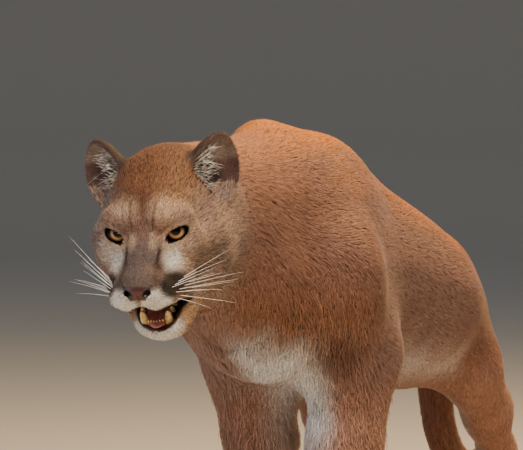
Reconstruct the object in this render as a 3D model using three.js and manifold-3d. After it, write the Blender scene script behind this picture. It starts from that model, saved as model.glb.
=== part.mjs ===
// A life-size adult cougar, walking with its hindquarters low, its head level with its
// shoulders and its mouth a little open. Millimetres, Z up, and the animal faces -Y, so its
// left side is +X. The body is one smooth field of named bones and muscles, meshed node by
// node and parted by thin cuts at the neck, the shoulders, the hips and the tail's root.
import * as THREE from "three";
import { mergeVertices } from "three/addons/utils/BufferGeometryUtils.js";
import Module from "manifold-3d";

const wasm = await Module();
wasm.setup();

// Driving dimensions.
const GAP = 0.3; // clearance between nodes that touch
const SHOULDER = 640; // height of the withers
const BACK = 545; // height of the back over the belly
const BODY = 530; // withers to hips
const EYE_PLACE = new THREE.Vector3(-37.5, -434, 514); // point between the two eyes
const HEAD_SIZE = 1.05; // head against the standard one below
const HEAD_YAW = 8.5; // degrees, towards the animal's left
const HEAD_PITCH = 16.5; // degrees, nose down
const HEAD_ROLL = -2.4;
const EYE_RADIUS = 15;
const JAW_OPEN = 15; // degrees
const JAW_SHIFT = 8; // the open jaw's slide to the left
const CHIN_SHIFT = 5; // the chin's and lower lip's slide beyond that of the teeth

// Mesh sizes of the nodes, edge length of a grid cell.
const CELL = { torso: 27, neck: 27, leg: 20, head: 11.6 };

const SKIN = { color: 0xa5714a, roughness: 0.85, metalness: 0 };
const PALE = { color: 0xd9c3ab, roughness: 0.85, metalness: 0 };
const EYE = { color: 0xb98a3c, roughness: 0.15, metalness: 0 };
const TONGUE = { color: 0xb2564c, roughness: 0.5, metalness: 0 };

const v = (x, y, z) => new THREE.Vector3(x, y, z);
const SIDES = { left: 1, right: -1 };

// A tapered bar of muscle from a to b. wide scales its size along axis, which is X if left out.
function bar(a, ra, b, rb, wide = 1, axis = v(1, 0, 0)) {
  const along = b.clone().sub(a);
  const length2 = Math.max(along.lengthSq(), 1e-9);
  const d = v(0, 0, 0);
  return (p) => {
    d.copy(p).sub(a);
    const t = Math.min(1, Math.max(0, d.dot(along) / length2));
    d.addScaledVector(along, -t);
    d.addScaledVector(axis, d.dot(axis) * (1 / wide - 1));
    return (d.length() - (ra + (rb - ra) * t)) * Math.min(1, wide);
  };
}

// A rounded mass with its own half size along X, Y and Z.
function ball(c, rx, ry = rx, rz = rx) {
  const least = Math.min(rx, ry, rz);
  return (p) => (Math.hypot((p.x - c.x) / rx, (p.y - c.y) / ry, (p.z - c.z) / rz) - 1) * least;
}

// Two fields melted into one over a width of k.
function melt(a, b, k) {
  const h = Math.max(k - Math.abs(a - b), 0) / k;
  return Math.min(a, b) - (h * h * k) / 4;
}

const meltAll = (fields, k) => (p) => fields.reduce((sum, f) => melt(sum, f(p), k), 1e3);

// The sections of the trunk, from the breast to the rump: place along Y, side shift, height of
// the middle, half width and half depth. The trunk bows to the left as the animal turns.
const TRUNK = [
  [-158, -14, 446, 66, 76],
  [-90, -8, 456, 108, 122],
  [20, 0, SHOULDER - 176, 118, 152],
  [150, 20, 440, 130, 150],
  [290, 36, BACK - 139, 147, 139],
  [420, 28, 386, 134, 134],
  [BODY, 8, 380, 114, 122],
  [612, 0, 388, 72, 80],
];
const TRUNK_END = 55; // length of the rounded ends
const RIDGE = 0.3; // how much narrower a section is at the spine than at its middle

function sectionAt(y) {
  const last = TRUNK.length - 1;
  let i = TRUNK.findIndex((row) => row[0] > y);
  if (i < 0) return TRUNK[last];
  if (i === 0) return TRUNK[0];
  i -= 1;
  const [before, from, to, after] = [Math.max(i - 1, 0), i, i + 1, Math.min(i + 2, last)];
  const t = (y - TRUNK[from][0]) / (TRUNK[to][0] - TRUNK[from][0]);
  return TRUNK[from].map((value, k) => {
    const end = TRUNK[to][k];
    const step = TRUNK[to][0] - TRUNK[from][0];
    const m0 = ((end - TRUNK[before][k]) / (TRUNK[to][0] - TRUNK[before][0])) * step;
    const m1 = ((TRUNK[after][k] - value) / (TRUNK[after][0] - TRUNK[from][0])) * step;
    const t2 = t * t;
    const t3 = t2 * t;
    return (
      (2 * t3 - 3 * t2 + 1) * value +
      (t3 - 2 * t2 + t) * m0 +
      (-2 * t3 + 3 * t2) * end +
      (t3 - t2) * m1
    );
  });
}

function trunk(p) {
  const first = TRUNK[0][0];
  const last = TRUNK[TRUNK.length - 1][0];
  const y = Math.min(last, Math.max(first, p.y));
  const [, shift, height, halfWidth, halfDepth] = sectionAt(y);
  const up = (p.z - height) / halfDepth;
  const width = halfWidth * (1 - RIDGE * Math.min(1, Math.max(0, up)) ** 1.5);
  const out = Math.hypot((p.x - shift) / width, up, (p.y - y) / TRUNK_END);
  return (out - 1) * Math.min(halfWidth, halfDepth);
}

// Each foreleg: the scapula's top, shoulder, elbow, mid forearm, wrist and paw.
const FORELEG = {
  left: {
    blade: v(42, 40, 560),
    shoulder: v(88, -52, 448),
    elbow: v(94, 38, 338),
    forearm: v(77, 6, 215),
    wrist: v(68, -12, 100),
    paw: v(66, -52, 32),
  },
  right: {
    blade: v(-58, 34, 602),
    shoulder: v(-92, -56, 440),
    elbow: v(-92, 44, 336),
    forearm: v(-57, 40, 215),
    wrist: v(-54, 36, 100),
    paw: v(-58, -2, 32),
  },
};

// Each hind leg: the hip, knee, hock and paw.
const HINDLEG = {
  left: {
    hip: v(54, BODY + 12, 388),
    knee: v(128, 466, 286),
    shin: v(132, 548, 212),
    hock: v(130, 620, 140),
    heel: v(130, 602, 60),
    paw: v(130, 546, 32),
  },
  right: {
    hip: v(-52, BODY + 8, 388),
    knee: v(-98, 414, 282),
    shin: v(-98, 480, 205),
    hock: v(-94, 546, 136),
    heel: v(-94, 524, 58),
    paw: v(-94, 464, 32),
  },
};

// Four toes spread across the front of a paw, and the pad behind them.
function paw(at, size) {
  const toes = [-1.5, -0.5, 0.5, 1.5].map((k) => {
    const reach = 30 - 5 * Math.abs(k);
    return bar(v(at.x + k * 17 * size, at.y, at.z - 4), 15, v(at.x + k * 19 * size, at.y - reach, 17), 15.5);
  });
  return [ball(v(at.x, at.y + 8, 30), 36 * size, 42, 30), ...toes];
}

function foreleg({ blade, shoulder, elbow, forearm, wrist, paw: foot }) {
  const side = Math.sign(elbow.x);
  const flex = v(side * 8, 22, 0);
  return meltAll(
    [
      bar(blade, 46, shoulder, 64, 0.8),
      bar(shoulder, 62, elbow, 50, 0.86),
      bar(blade.clone().lerp(shoulder, 0.35).add(flex), 52, elbow, 48, 0.8),
      bar(shoulder.clone().add(v(0, -4, -30)), 50, forearm.clone().add(v(0, -6, 50)), 46, 0.95),
      bar(elbow, 49, forearm, 49, 0.96),
      bar(forearm, 49, wrist, 35, 0.94),
      bar(wrist, 34, v(foot.x, foot.y + 20, 42), 33),
      ...paw(foot, 1.08),
    ],
    26,
  );
}

function hindleg({ hip, knee, shin, hock, heel, paw: foot }) {
  const back = hip.clone().lerp(hock, 0.42).add(v(0, 12, 6));
  return meltAll(
    [
      bar(hip, 84, knee, 58, 0.68),
      bar(hip.clone().add(v(0, 26, -14)), 74, back, 48, 0.66),
      bar(knee, 52, shin, 42, 0.84),
      bar(back, 38, hock, 21, 0.8),
      bar(shin, 40, hock, 27, 0.84),
      bar(hock, 27, heel, 26, 0.95),
      bar(heel, 26, v(foot.x, foot.y + 16, 38), 29),
      ...paw(foot, 1),
    ],
    26,
  );
}

// The head in its own frame: X to the animal's left, Y back, Z up, from the point between
// the eyes. The jaw hangs open by JAW_OPEN from its hinge.
const EYE_SPREAD = 34;
const NOSE = v(0, -68, -46);
const HINGE = v(0, 62, -42);
const CORNER = v(0, -8, -80); // corners of the mouth
const jawTurn = new THREE.Matrix4().makeRotationX(THREE.MathUtils.degToRad(JAW_OPEN));
const slide = (y) => JAW_SHIFT * Math.min(1, Math.max(0, (30 - y) / 70));
const onJaw = (x, y, z) => v(x + slide(y), y, z).sub(HINGE).applyMatrix4(jawTurn).add(HINGE);
const both = (make) => [make(1), make(-1)];

const skull = meltAll(
  [
    ball(v(0, 80, 6), 64, 78, 58),
    ball(v(0, 30, 13), 46, 46, 38),
    ...both((s) => bar(v(s * 41, 15, -25), 23, v(s * 51, 56, -22), 28)),
    ...both((s) => ball(v(s * 47, 74, -46), 35, 44, 43)),
    ...both((s) => bar(v(s * 15, -4, 16), 13, v(s * 42, 9, 14), 13.5)),
    ...both((s) => bar(v(s * 20, -4, -16), 14, v(s * 46, 12, -14), 15)),
    bar(v(0, 2, -10), 24, v(0, -56, -44), 16.5, 1.1),
    bar(v(0, -2, -38), 34, v(0, -42, -53), 26, 1.12),
    ...both((s) => ball(v(s * 19, -48, -61), 21, 25, 17.5)),
    ...both((s) => ball(v(s * 31, -8, -56), 21, 30, 22)),
    bar(v(0, -58, -41), 14, NOSE, 10.5, 1.6),
  ],
  14,
);

const jaw = meltAll(
  [
    ...both((s) => bar(onJaw(s * 38, 40, -60), 24, onJaw(s * 20 + CHIN_SHIFT, -28, -79), 15)),
    bar(onJaw(0, 20, -78), 26, onJaw(CHIN_SHIFT, -32, -80), 17, 1.1),
    ball(onJaw(CHIN_SHIFT, -43, -79), 22, 14, 14),
  ],
  14,
);

const head = (p) => melt(skull(p), jaw(p), 8);

const headPose = new THREE.Matrix4()
  .makeTranslation(EYE_PLACE.x, EYE_PLACE.y, EYE_PLACE.z)
  .multiply(new THREE.Matrix4().makeRotationZ(THREE.MathUtils.degToRad(HEAD_YAW)))
  .multiply(new THREE.Matrix4().makeRotationX(THREE.MathUtils.degToRad(HEAD_PITCH)))
  .multiply(new THREE.Matrix4().makeRotationY(THREE.MathUtils.degToRad(HEAD_ROLL)))
  .multiply(new THREE.Matrix4().makeScale(HEAD_SIZE, HEAD_SIZE, HEAD_SIZE));
const toHead = headPose.clone().invert();
const inBody = (x, y, z) => v(x, y, z).applyMatrix4(headPose);

const local = v(0, 0, 0);
const headField = (p) => head(local.copy(p).applyMatrix4(toHead)) * HEAD_SIZE;

const neck = meltAll(
  [
    bar(inBody(8, 112, -10), 84, v(-20, -70, 526), 108, 0.94),
    bar(inBody(4, 112, -48), 64, v(-14, -110, 440), 98, 0.94),
  ],
  40,
);

// The tail's root, and the curve that the tail hangs along.
const TAIL = [
  [0, 618, 446],
  [0, 684, 404],
  [-6, 732, 322],
  [-10, 760, 232],
  [-8, 794, 150],
  [0, 852, 98],
  [12, 924, 84],
  [22, 988, 104],
];
const TAIL_RADII = [40, 33, 30, 28, 27, 26, 25, 14];
const tailCurve = new THREE.CatmullRomCurve3(TAIL.map((row) => v(...row)));
const TAIL_CUT = 0.09; // share of the curve that stays with the torso
const tailRoot = bar(tailCurve.getPointAt(0), 46, tailCurve.getPointAt(TAIL_CUT), 34);
const tailStub = bar(tailCurve.getPointAt(TAIL_CUT), 33.5, tailCurve.getPointAt(TAIL_CUT * 2), 31);

const limbs = [
  foreleg(FORELEG.left),
  foreleg(FORELEG.right),
  hindleg(HINDLEG.left),
  hindleg(HINDLEG.right),
];
const LIMB_MELT = 46;
const withers = ball(v(-6, 60, 545), 84, 130, 82);
const brisket = bar(v(-8, -84, 382), 60, v(0, 70, 346), 62);
const chest = (p) => melt(melt(trunk(p), withers(p), 50), brisket(p), 50);
const core = (p) => melt(melt(melt(chest(p), neck(p), 70), tailRoot(p), 40), tailStub(p), 12);
const FLOOR_CUT = 0;

function body(p) {
  const middle = core(p);
  const whole = limbs.reduce((least, limb) => Math.min(least, melt(middle, limb(p), LIMB_MELT)), middle);
  return Math.max(melt(whole, headField(p), 26), FLOOR_CUT - p.z);
}

// Dual mesh of a field's zero surface inside a box: one vertex for each loop of crossed edges
// in a cell, then drawn onto the surface along the field's slope.
function meshOf(whole, low, high, cell) {
  const middle = low.clone().add(high).multiplyScalar(0.5);
  const half = high.clone().sub(low).multiplyScalar(0.5).subScalar(cell);
  const field = (p) =>
    Math.max(
      whole(p),
      Math.abs(p.x - middle.x) - half.x,
      Math.abs(p.y - middle.y) - half.y,
      Math.abs(p.z - middle.z) - half.z,
    );
  const n = [0, 1, 2].map((k) => Math.ceil((high.getComponent(k) - low.getComponent(k)) / cell) + 1);
  const at = (i, j, k) => (k * n[1] + j) * n[0] + i;
  const place = (i, j, k) => v(low.x + i * cell, low.y + j * cell, low.z + k * cell);
  const values = new Float64Array(n[0] * n[1] * n[2]);
  for (let k = 0; k < n[2]; k++)
    for (let j = 0; j < n[1]; j++)
      for (let i = 0; i < n[0]; i++) values[at(i, j, k)] = field(place(i, j, k)) || 1e-6;

  const corners = [0, 1, 2, 3, 4, 5, 6, 7].map((c) => [c & 1, (c >> 1) & 1, (c >> 2) & 1]);
  const edges = [];
  for (let a = 0; a < 8; a++) for (const bit of [1, 2, 4]) if (!(a & bit)) edges.push([a, a | bit]);
  const faces = [0, 1, 2].flatMap((axis) =>
    [0, 1].map((side) => edges.map((e, index) => [e, index]).filter(([e]) =>
      corners[e[0]][axis] === side && corners[e[1]][axis] === side).map(([, index]) => index)),
  );

  const positions = [];
  const vertexOf = new Map(); // cell and edge to vertex
  for (let k = 0; k < n[2] - 1; k++)
    for (let j = 0; j < n[1] - 1; j++)
      for (let i = 0; i < n[0] - 1; i++) {
        const value = corners.map(([x, y, z]) => values[at(i + x, j + y, k + z)]);
        const crossed = edges.map(([a, b]) => value[a] < 0 !== value[b] < 0);
        if (!crossed.includes(true)) continue;
        const group = edges.map((_, index) => index);
        const root = (x) => (group[x] === x ? x : root(group[x]));
        for (const face of faces) {
          const cut = face.filter((e) => crossed[e]);
          const pairs = [];
          if (cut.length === 2) pairs.push(cut);
          if (cut.length === 4) {
            const inner = [...new Set(face.flatMap((e) => edges[e]))].filter((c) => value[c] < 0);
            for (const c of inner) pairs.push(face.filter((e) => edges[e].includes(c)));
          }
          for (const [a, b] of pairs) group[root(a)] = root(b);
        }
        const loops = new Map();
        edges.forEach(([a, b], e) => {
          if (!crossed[e]) return;
          const t = value[a] / (value[a] - value[b]);
          const key = root(e);
          const loop = loops.get(key) || { sum: v(0, 0, 0), members: [] };
          loop.sum.add(v(...corners[a]).lerp(v(...corners[b]), t));
          loop.members.push(e);
          loops.set(key, loop);
        });
        for (const { sum, members } of loops.values()) {
          const point = sum.divideScalar(members.length).multiplyScalar(cell).add(place(i, j, k));
          for (const e of members) vertexOf.set(at(i, j, k) * 12 + e, positions.length);
          positions.push(point);
        }
      }

  const slope = v(0, 0, 0);
  const probe = v(0, 0, 0);
  const STEP = 0.5;
  for (const point of positions) {
    const start = point.clone();
    for (let turn = 0; turn < 3; turn++) {
      const here = field(point);
      ["x", "y", "z"].forEach((axis) => {
        probe.copy(point)[axis] += STEP;
        slope[axis] = (field(probe) - here) / STEP;
      });
      point.addScaledVector(slope, (-here / Math.max(slope.lengthSq(), 0.05)) * 0.8);
    }
    const moved = point.clone().sub(start);
    if (moved.length() > cell * 0.45) point.copy(start).addScaledVector(moved.normalize(), cell * 0.45);
  }

  const index = [];
  const ring = [[0, 0], [-1, 0], [-1, -1], [0, -1]];
  for (let axis = 0; axis < 3; axis++) {
    const [u, w] = [(axis + 1) % 3, (axis + 2) % 3];
    const bit = 1 << axis;
    for (let k = 0; k < n[2] - 1; k++)
      for (let j = 0; j < n[1] - 1; j++)
        for (let i = 0; i < n[0] - 1; i++) {
          const here = [i, j, k];
          if (here[u] === 0 || here[w] === 0) continue;
          const next = [i, j, k];
          next[axis] += 1;
          const inside = values[at(...here)] < 0;
          if (inside === values[at(...next)] < 0) continue;
          const quad = ring.map(([du, dw]) => {
            const c = [i, j, k];
            c[u] += du;
            c[w] += dw;
            const start = (du ? 1 << u : 0) | (dw ? 1 << w : 0);
            const e = edges.findIndex(([a, b]) => a === start && b === (start | bit));
            return vertexOf.get(at(...c) * 12 + e);
          });
          if (!inside) quad.reverse();
          const [a, b, c, d] = quad;
          const short = positions[a].distanceTo(positions[c]) <= positions[b].distanceTo(positions[d]);
          index.push(...(short ? [a, b, c, a, c, d] : [a, b, d, b, c, d]));
        }
  }
  const geometry = new THREE.BufferGeometry().setFromPoints(positions);
  geometry.setIndex(index);
  return geometry;
}

// A closed tube through rings of points, each ring given as a function of an angle.
function loft(rings, sides) {
  const points = rings.flatMap((ring) => Array.from({ length: sides }, (_, i) => ring((i / sides) * 2 * Math.PI)));
  const middle = (ring) => Array.from({ length: sides }, (_, i) => ring((i / sides) * 2 * Math.PI))
    .reduce((sum, p) => sum.add(p), v(0, 0, 0)).divideScalar(sides);
  const first = points.push(middle(rings[0])) - 1;
  const last = points.push(middle(rings[rings.length - 1])) - 1;
  const index = [];
  for (let i = 0; i < sides; i++) {
    const j = (i + 1) % sides;
    index.push(first, j, i);
    const top = (rings.length - 1) * sides;
    index.push(last, top + i, top + j);
    for (let r = 0; r < rings.length - 1; r++) {
      const [a, b] = [r * sides + i, r * sides + j];
      index.push(a, b, a + sides, b, b + sides, a + sides);
    }
  }
  const geometry = new THREE.BufferGeometry().setFromPoints(points);
  geometry.setIndex(index);
  return geometry;
}

function solid(geometry, matrix = null) {
  const bare = geometry.clone();
  for (const name of ["normal", "uv"]) bare.deleteAttribute(name);
  if (matrix) bare.applyMatrix4(matrix);
  const merged = mergeVertices(bare, 1e-4);
  const made = new wasm.Manifold(
    new wasm.Mesh({
      numProp: 3,
      vertProperties: new Float32Array(merged.attributes.position.array),
      triVerts: new Uint32Array(merged.index.array),
    }),
  );
  return made.volume() < 0 ? solid(flipped(merged)) : made;
}

function flipped(geometry) {
  const index = Array.from(geometry.index.array);
  for (let i = 0; i < index.length; i += 3) [index[i + 1], index[i + 2]] = [index[i + 2], index[i + 1]];
  return geometry.clone().setIndex(index);
}

const largest = (made) => made.decompose().sort((a, b) => b.volume() - a.volume())[0];

const group = new THREE.Group();
function node(name, made, look) {
  const mesh = largest(made).getMesh();
  const geometry = new THREE.BufferGeometry();
  geometry.setAttribute("position", new THREE.BufferAttribute(new Float32Array(mesh.vertProperties), 3));
  geometry.setIndex(new THREE.BufferAttribute(new Uint32Array(mesh.triVerts), 1));
  geometry.computeVertexNormals();
  const part = new THREE.Mesh(geometry, new THREE.MeshStandardMaterial(look));
  part.name = name;
  group.add(part);
}

// A thick plate whose face lies on a cut: everything on the side that normal points to.
function beyond(point, normal, gap = 0) {
  const FAR = 2400;
  const turn = new THREE.Quaternion().setFromUnitVectors(v(0, 0, 1), normal.clone().normalize());
  const shift = point.clone().addScaledVector(normal.clone().normalize(), FAR / 2 + gap);
  const matrix = new THREE.Matrix4().compose(shift, turn, v(1, 1, 1));
  return solid(new THREE.BoxGeometry(FAR, FAR, FAR), matrix);
}

// The cuts between the nodes: a point on each and the way that leaves the torso.
const CUTS = {
  neck: [v(0, -128, 500), v(0, -1, 0.1)],
  head: [inBody(0, 112, -20), v(0, -1, 0.12)],
  tail: [tailCurve.getPointAt(TAIL_CUT), tailCurve.getTangentAt(TAIL_CUT)],
};
const LEG_CUTS = {
  foreleg_left: [v(75, 0, 352), v(0.9, 0, -1)],
  foreleg_right: [v(-75, 0, 352), v(-0.9, 0, -1)],
  hindleg_left: [v(75, 500, 330), v(0.9, 0, -1)],
  hindleg_right: [v(-75, 500, 330), v(-0.9, 0, -1)],
};
const MIDDLE = v(0, 0, 0);
const LEG_ROOM = { foreleg: [-128, 124], hindleg: [335, 720] };

const side = (point, normal, gap = 0) => beyond(point, normal, gap);
const away = (point, normal, gap = 0) => beyond(point, normal.clone().negate(), gap);

// The torso and the neck.
const torsoMesh = solid(meshOf(body, v(-210, -330, 150), v(230, 720, 700), CELL.torso));
const neckMesh = solid(meshOf(body, v(-200, -420, 330), v(200, -60, 700), CELL.neck));

let torso = torsoMesh.intersect(away(...CUTS.neck, GAP / 2)).intersect(away(...CUTS.tail, GAP / 2));
const legRooms = {};
for (const [name, [point, normal]] of Object.entries(LEG_CUTS)) {
  const s = name.endsWith("left") ? 1 : -1;
  const [from, to] = LEG_ROOM[name.split("_")[0]];
  const room = (gap) =>
    side(point, normal, -gap)
      .intersect(side(MIDDLE, v(s, 0, 0), 1 - gap))
      .intersect(side(v(0, from, 0), v(0, 1, 0), -gap))
      .intersect(away(v(0, to, 0), v(0, 1, 0), -gap));
  legRooms[name] = room(0);
  torso = torso.subtract(room(GAP));
}
torso = torso.intersect(side(v(0, 0, 200), v(0, 0, 1)));
node("torso", torso, SKIN);
node("neck", neckMesh.intersect(side(...CUTS.neck, GAP / 2)).intersect(away(...CUTS.head, GAP / 2)), SKIN);

// The legs, each meshed in its own box.
const legBoxes = {
  foreleg_left: [v(-40, -190, -30), v(220, 190, 520)],
  foreleg_right: [v(-220, -190, -30), v(40, 190, 520)],
  hindleg_left: [v(-30, 270, -30), v(240, 760, 480)],
  hindleg_right: [v(-220, 270, -30), v(30, 760, 480)],
};
for (const [name, box] of Object.entries(legBoxes)) {
  const mesh = solid(meshOf(body, ...box, CELL.leg));
  node(name, mesh.intersect(legRooms[name]).intersect(side(v(0, 0, 0.5), v(0, 0, 1))), SKIN);
}

// Shapes that the head is finished with, each in the head's own frame.
const inHead = (geometry, matrix) => solid(geometry, headPose.clone().multiply(matrix));
const placed = (x, y, z) => new THREE.Matrix4().makeTranslation(x, y, z);
// A rounded lump with its own half sizes. taper narrows it along X towards its top.
function lump(c, rx, ry, rz, turn = new THREE.Matrix4(), w = 16, h = 12, taper = 0) {
  const sphere = new THREE.SphereGeometry(1, w, h);
  const points = sphere.attributes.position;
  for (let i = 0; i < points.count; i++) points.setX(i, points.getX(i) * (1 - taper * points.getZ(i)));
  return inHead(sphere, placed(c.x, c.y, c.z).multiply(turn).scale(v(rx, ry, rz)));
}
const turned = (x, y, z) =>
  new THREE.Matrix4().makeRotationFromEuler(new THREE.Euler(...[x, y, z].map(THREE.MathUtils.degToRad), "ZYX"));

// A tooth from its root to its tip.
function tooth(root, tip, radius, sides = 8) {
  const along = tip.clone().sub(root);
  const turn = new THREE.Quaternion().setFromUnitVectors(v(0, 1, 0), along.clone().normalize());
  const matrix = new THREE.Matrix4().compose(root.clone().add(tip).multiplyScalar(0.5), turn, v(1, 1, 1));
  return inHead(new THREE.CylinderGeometry(radius * 0.2, radius, along.length(), sides), matrix);
}

// The head's flesh, meshed in a box about its own frame's bounds.
const headLow = inBody(-110, -110, -150).min(inBody(110, 150, 120)).addScalar(-24);
const headHigh = inBody(-110, -110, -150).max(inBody(110, 150, 120)).addScalar(40);
const headMesh = solid(meshOf(body, headLow, headHigh, CELL.head)).intersect(side(...CUTS.head, GAP / 2));

// The open mouth: a wedge from the corners to the lips, and the hollow behind the teeth.
const wedgeOutline = new THREE.Shape([
  new THREE.Vector2(CORNER.y, CORNER.z),
  new THREE.Vector2(-120, CORNER.z + 25),
  new THREE.Vector2(-120, CORNER.z - 48),
]);
const wedge = new THREE.ExtrudeGeometry(wedgeOutline, { depth: 160, bevelEnabled: false });
const wedgeMatrix = new THREE.Matrix4().makeBasis(v(0, 1, 0), v(0, 0, 1), v(1, 0, 0)).setPosition(-80, 0, 0);
const hollows = [
  lump(v(JAW_SHIFT * 0.5 + CHIN_SHIFT, -16, -85), 23.5, 40, 12, turned(20, 0, 0), 12, 8),
  lump(v(3, -18, -73), 23, 40, 9, turned(-8, 0, 0), 12, 8),
];
const NOSTRIL = v(9, -79, -48);
const EYE_CENTRE = { left: v(EYE_SPREAD, 5, 0), right: v(-EYE_SPREAD, 5, 0) };
const LID = 2; // thickness of the lids
const GAZE = 14; // degrees outwards
const LID_SLANT = 22; // degrees that the outer corner of an eye stands up

let headSolid = headMesh.subtract(inHead(wedge, wedgeMatrix));
for (const hollow of hollows) headSolid = headSolid.subtract(hollow);
for (const [name, s] of Object.entries(SIDES)) {
  const c = EYE_CENTRE[name];
  const ahead = v(Math.sin(THREE.MathUtils.degToRad(GAZE)) * s, -Math.cos(THREE.MathUtils.degToRad(GAZE)), 0);
  const opening = c.clone().addScaledVector(ahead, 14);
  const r = EYE_RADIUS;
  headSolid = headSolid
    .add(lump(c, r + LID, r + LID, r + LID, turned(0, 0, 0), 16, 12))
    .subtract(lump(c, r + GAP * 1.5, r + GAP * 1.5, r + GAP * 1.5, turned(0, 0, 0), 16, 12))
    .subtract(lump(opening, 14, 13, 6.2, turned(0, -LID_SLANT * s, GAZE * s), 14, 10))
    .subtract(lump(v(NOSTRIL.x * s, NOSTRIL.y, NOSTRIL.z), 4.5, 6, 3.2, turned(0, 25 * s, 0), 8, 6));
  node("eye_" + name, lump(c, r, r, r, turned(0, 0, 0), 16, 12), EYE);
}

// Lower and upper canines and the lower row of incisors.
for (const s of [1, -1]) {
  headSolid = headSolid
    .add(tooth(onJaw(s * 13, -41, -76), onJaw(s * 15.5, -45, -53), 5.6))
    .add(tooth(v(s * 17, -46, -62), v(s * 18, -43, -77), 5.5));
  for (const k of [0.5, 1.5, 2.5]) {
    headSolid = headSolid.add(tooth(onJaw(s * k * 3.2, -49 + k, -76), onJaw(s * k * 3.2, -50 + k, -65), 1.9, 6));
  }
}

// The ears: cupped shells that stand on the head, with the cup sunk a little into it.
const EARS = { left: [63, 98, 44], right: [-65, 98, 42] };
const EAR_LEAN = { left: 24, right: 31 }; // degrees outwards
const EAR_TURN = 30; // degrees that the cup faces outwards
const EAR_TAPER = 0.24; // how much the ears narrow towards their tips
const headWhole = headSolid;
for (const [name, s] of Object.entries(SIDES)) {
  const c = v(...EARS[name]);
  const turn = turned(-8, EAR_LEAN[name] * s, EAR_TURN * s);
  const up = v(0, 0, 1).applyMatrix4(turn);
  const face = v(0, -1, 0).applyMatrix4(turn);
  const outer = lump(c, 34, 18, 44, turn, 18, 12, EAR_TAPER);
  const cupAt = c.clone().addScaledVector(face, 12).addScaledVector(up, 1);
  const cup = lump(cupAt, 29.5, 20, 39.5, turn, 18, 12, EAR_TAPER);
  const shell = outer.subtract(cup);
  const lift = up.clone().multiplyScalar(GAP * 1.4).applyMatrix4(new THREE.Matrix4().extractRotation(headPose));
  const ear = shell.subtract(headWhole).subtract(headWhole.translate([lift.x, lift.y, lift.z]));
  headSolid = headSolid.subtract(cup.intersect(lump(c, 26, 21, 30, turn, 12, 8)));
  node("ear_" + name, ear, SKIN);
}
node("head", headSolid, SKIN);

// The tongue lies in the hollow of the jaw.
const tongueAt = v(JAW_SHIFT * 0.5 + CHIN_SHIFT, -14, -90);
const tongue = lump(tongueAt, 15.5, 32, 6.5, turned(20, 0, 0), 12, 8);
node("tongue", tongue.subtract(headSolid).subtract(headSolid.translate([0, 0, GAP])), TONGUE);

// The tail in three lengths.
const TAIL_PARTS = { tail_root: [TAIL_CUT, 0.38], tail_middle: [0.38, 0.7], tail_tip: [0.7, 1] };
const TAIL_SIDES = 12;
const tailFrames = tailCurve.computeFrenetFrames(200, false);
const tailLength = tailCurve.getLength();
function tailRing(share, radius) {
  const centre = tailCurve.getPointAt(share);
  const along = tailCurve.getTangentAt(share);
  const across = v(1, 0, 0).addScaledVector(along, -along.x).normalize();
  const up = along.clone().cross(across);
  return (angle) =>
    centre.clone().addScaledVector(across, Math.cos(angle) * radius).addScaledVector(up, Math.sin(angle) * radius);
}
const tailRadius = (share) => {
  const place = share * (TAIL_RADII.length - 1);
  const i = Math.min(Math.floor(place), TAIL_RADII.length - 2);
  return TAIL_RADII[i] + (TAIL_RADII[i + 1] - TAIL_RADII[i]) * (place - i);
};
for (const [name, [from, to]] of Object.entries(TAIL_PARTS)) {
  const steps = 9;
  const start = from + GAP / 2 / tailLength;
  const stop = to === 1 ? 1 : to - GAP / 2 / tailLength;
  const rings = Array.from({ length: steps + 1 }, (_, i) => {
    const share = start + ((stop - start) * i) / steps;
    return tailRing(share, tailRadius(share));
  });
  if (to === 1) {
    const [end, along] = [tailCurve.getPointAt(1), tailCurve.getTangentAt(1)];
    for (const [reach, shrink] of [[6, 0.8], [10, 0.45]]) {
      const ring = tailRing(1, TAIL_RADII[TAIL_RADII.length - 1] * shrink);
      rings.push((angle) => ring(angle).addScaledVector(along, reach));
    }
  }
  node(name, solid(loft(rings, TAIL_SIDES)), SKIN);
}

// The origin is under the middle of the whole animal, on the ground.
const bounds = new THREE.Box3().setFromObject(group);
const centre = bounds.getCenter(v(0, 0, 0));
for (const part of group.children) part.geometry.translate(-centre.x, -centre.y, -bounds.min.z);

export default group;
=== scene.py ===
import math

import bpy
import numpy as np
from mathutils import Matrix, Vector


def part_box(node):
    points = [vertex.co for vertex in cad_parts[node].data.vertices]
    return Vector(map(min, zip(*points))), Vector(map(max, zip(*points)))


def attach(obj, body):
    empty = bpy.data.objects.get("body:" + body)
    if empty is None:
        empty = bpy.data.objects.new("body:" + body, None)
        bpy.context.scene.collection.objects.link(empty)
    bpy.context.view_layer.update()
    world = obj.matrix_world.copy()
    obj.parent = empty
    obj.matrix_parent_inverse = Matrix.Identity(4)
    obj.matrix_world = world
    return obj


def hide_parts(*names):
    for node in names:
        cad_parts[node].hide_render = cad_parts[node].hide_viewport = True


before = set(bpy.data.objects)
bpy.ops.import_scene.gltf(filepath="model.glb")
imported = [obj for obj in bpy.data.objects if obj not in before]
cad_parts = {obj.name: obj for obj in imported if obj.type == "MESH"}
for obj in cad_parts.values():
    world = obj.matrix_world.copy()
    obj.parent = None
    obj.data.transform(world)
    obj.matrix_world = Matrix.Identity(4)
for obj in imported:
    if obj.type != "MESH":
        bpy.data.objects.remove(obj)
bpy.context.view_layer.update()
rng = np.random.default_rng(11)

# The body's named sizes.
SHOULDER = 640  # height of the withers
BACK = 545  # height of the back over the belly
BODY = 530  # withers to hips
EYE_PLACE = (-37.5, -434, 514)  # the point between the eyes
HEAD_SIZE = 1.05
HEAD_YAW = 8.5
HEAD_PITCH = 16.5
HEAD_ROLL = -2.4
EYE_RADIUS = 15
EYE_SPREAD = 34
JAW_OPEN = 15
JAW_SHIFT = 8
CHIN_SHIFT = 5
LID_SLANT = 22
GAZE = 14

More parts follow.
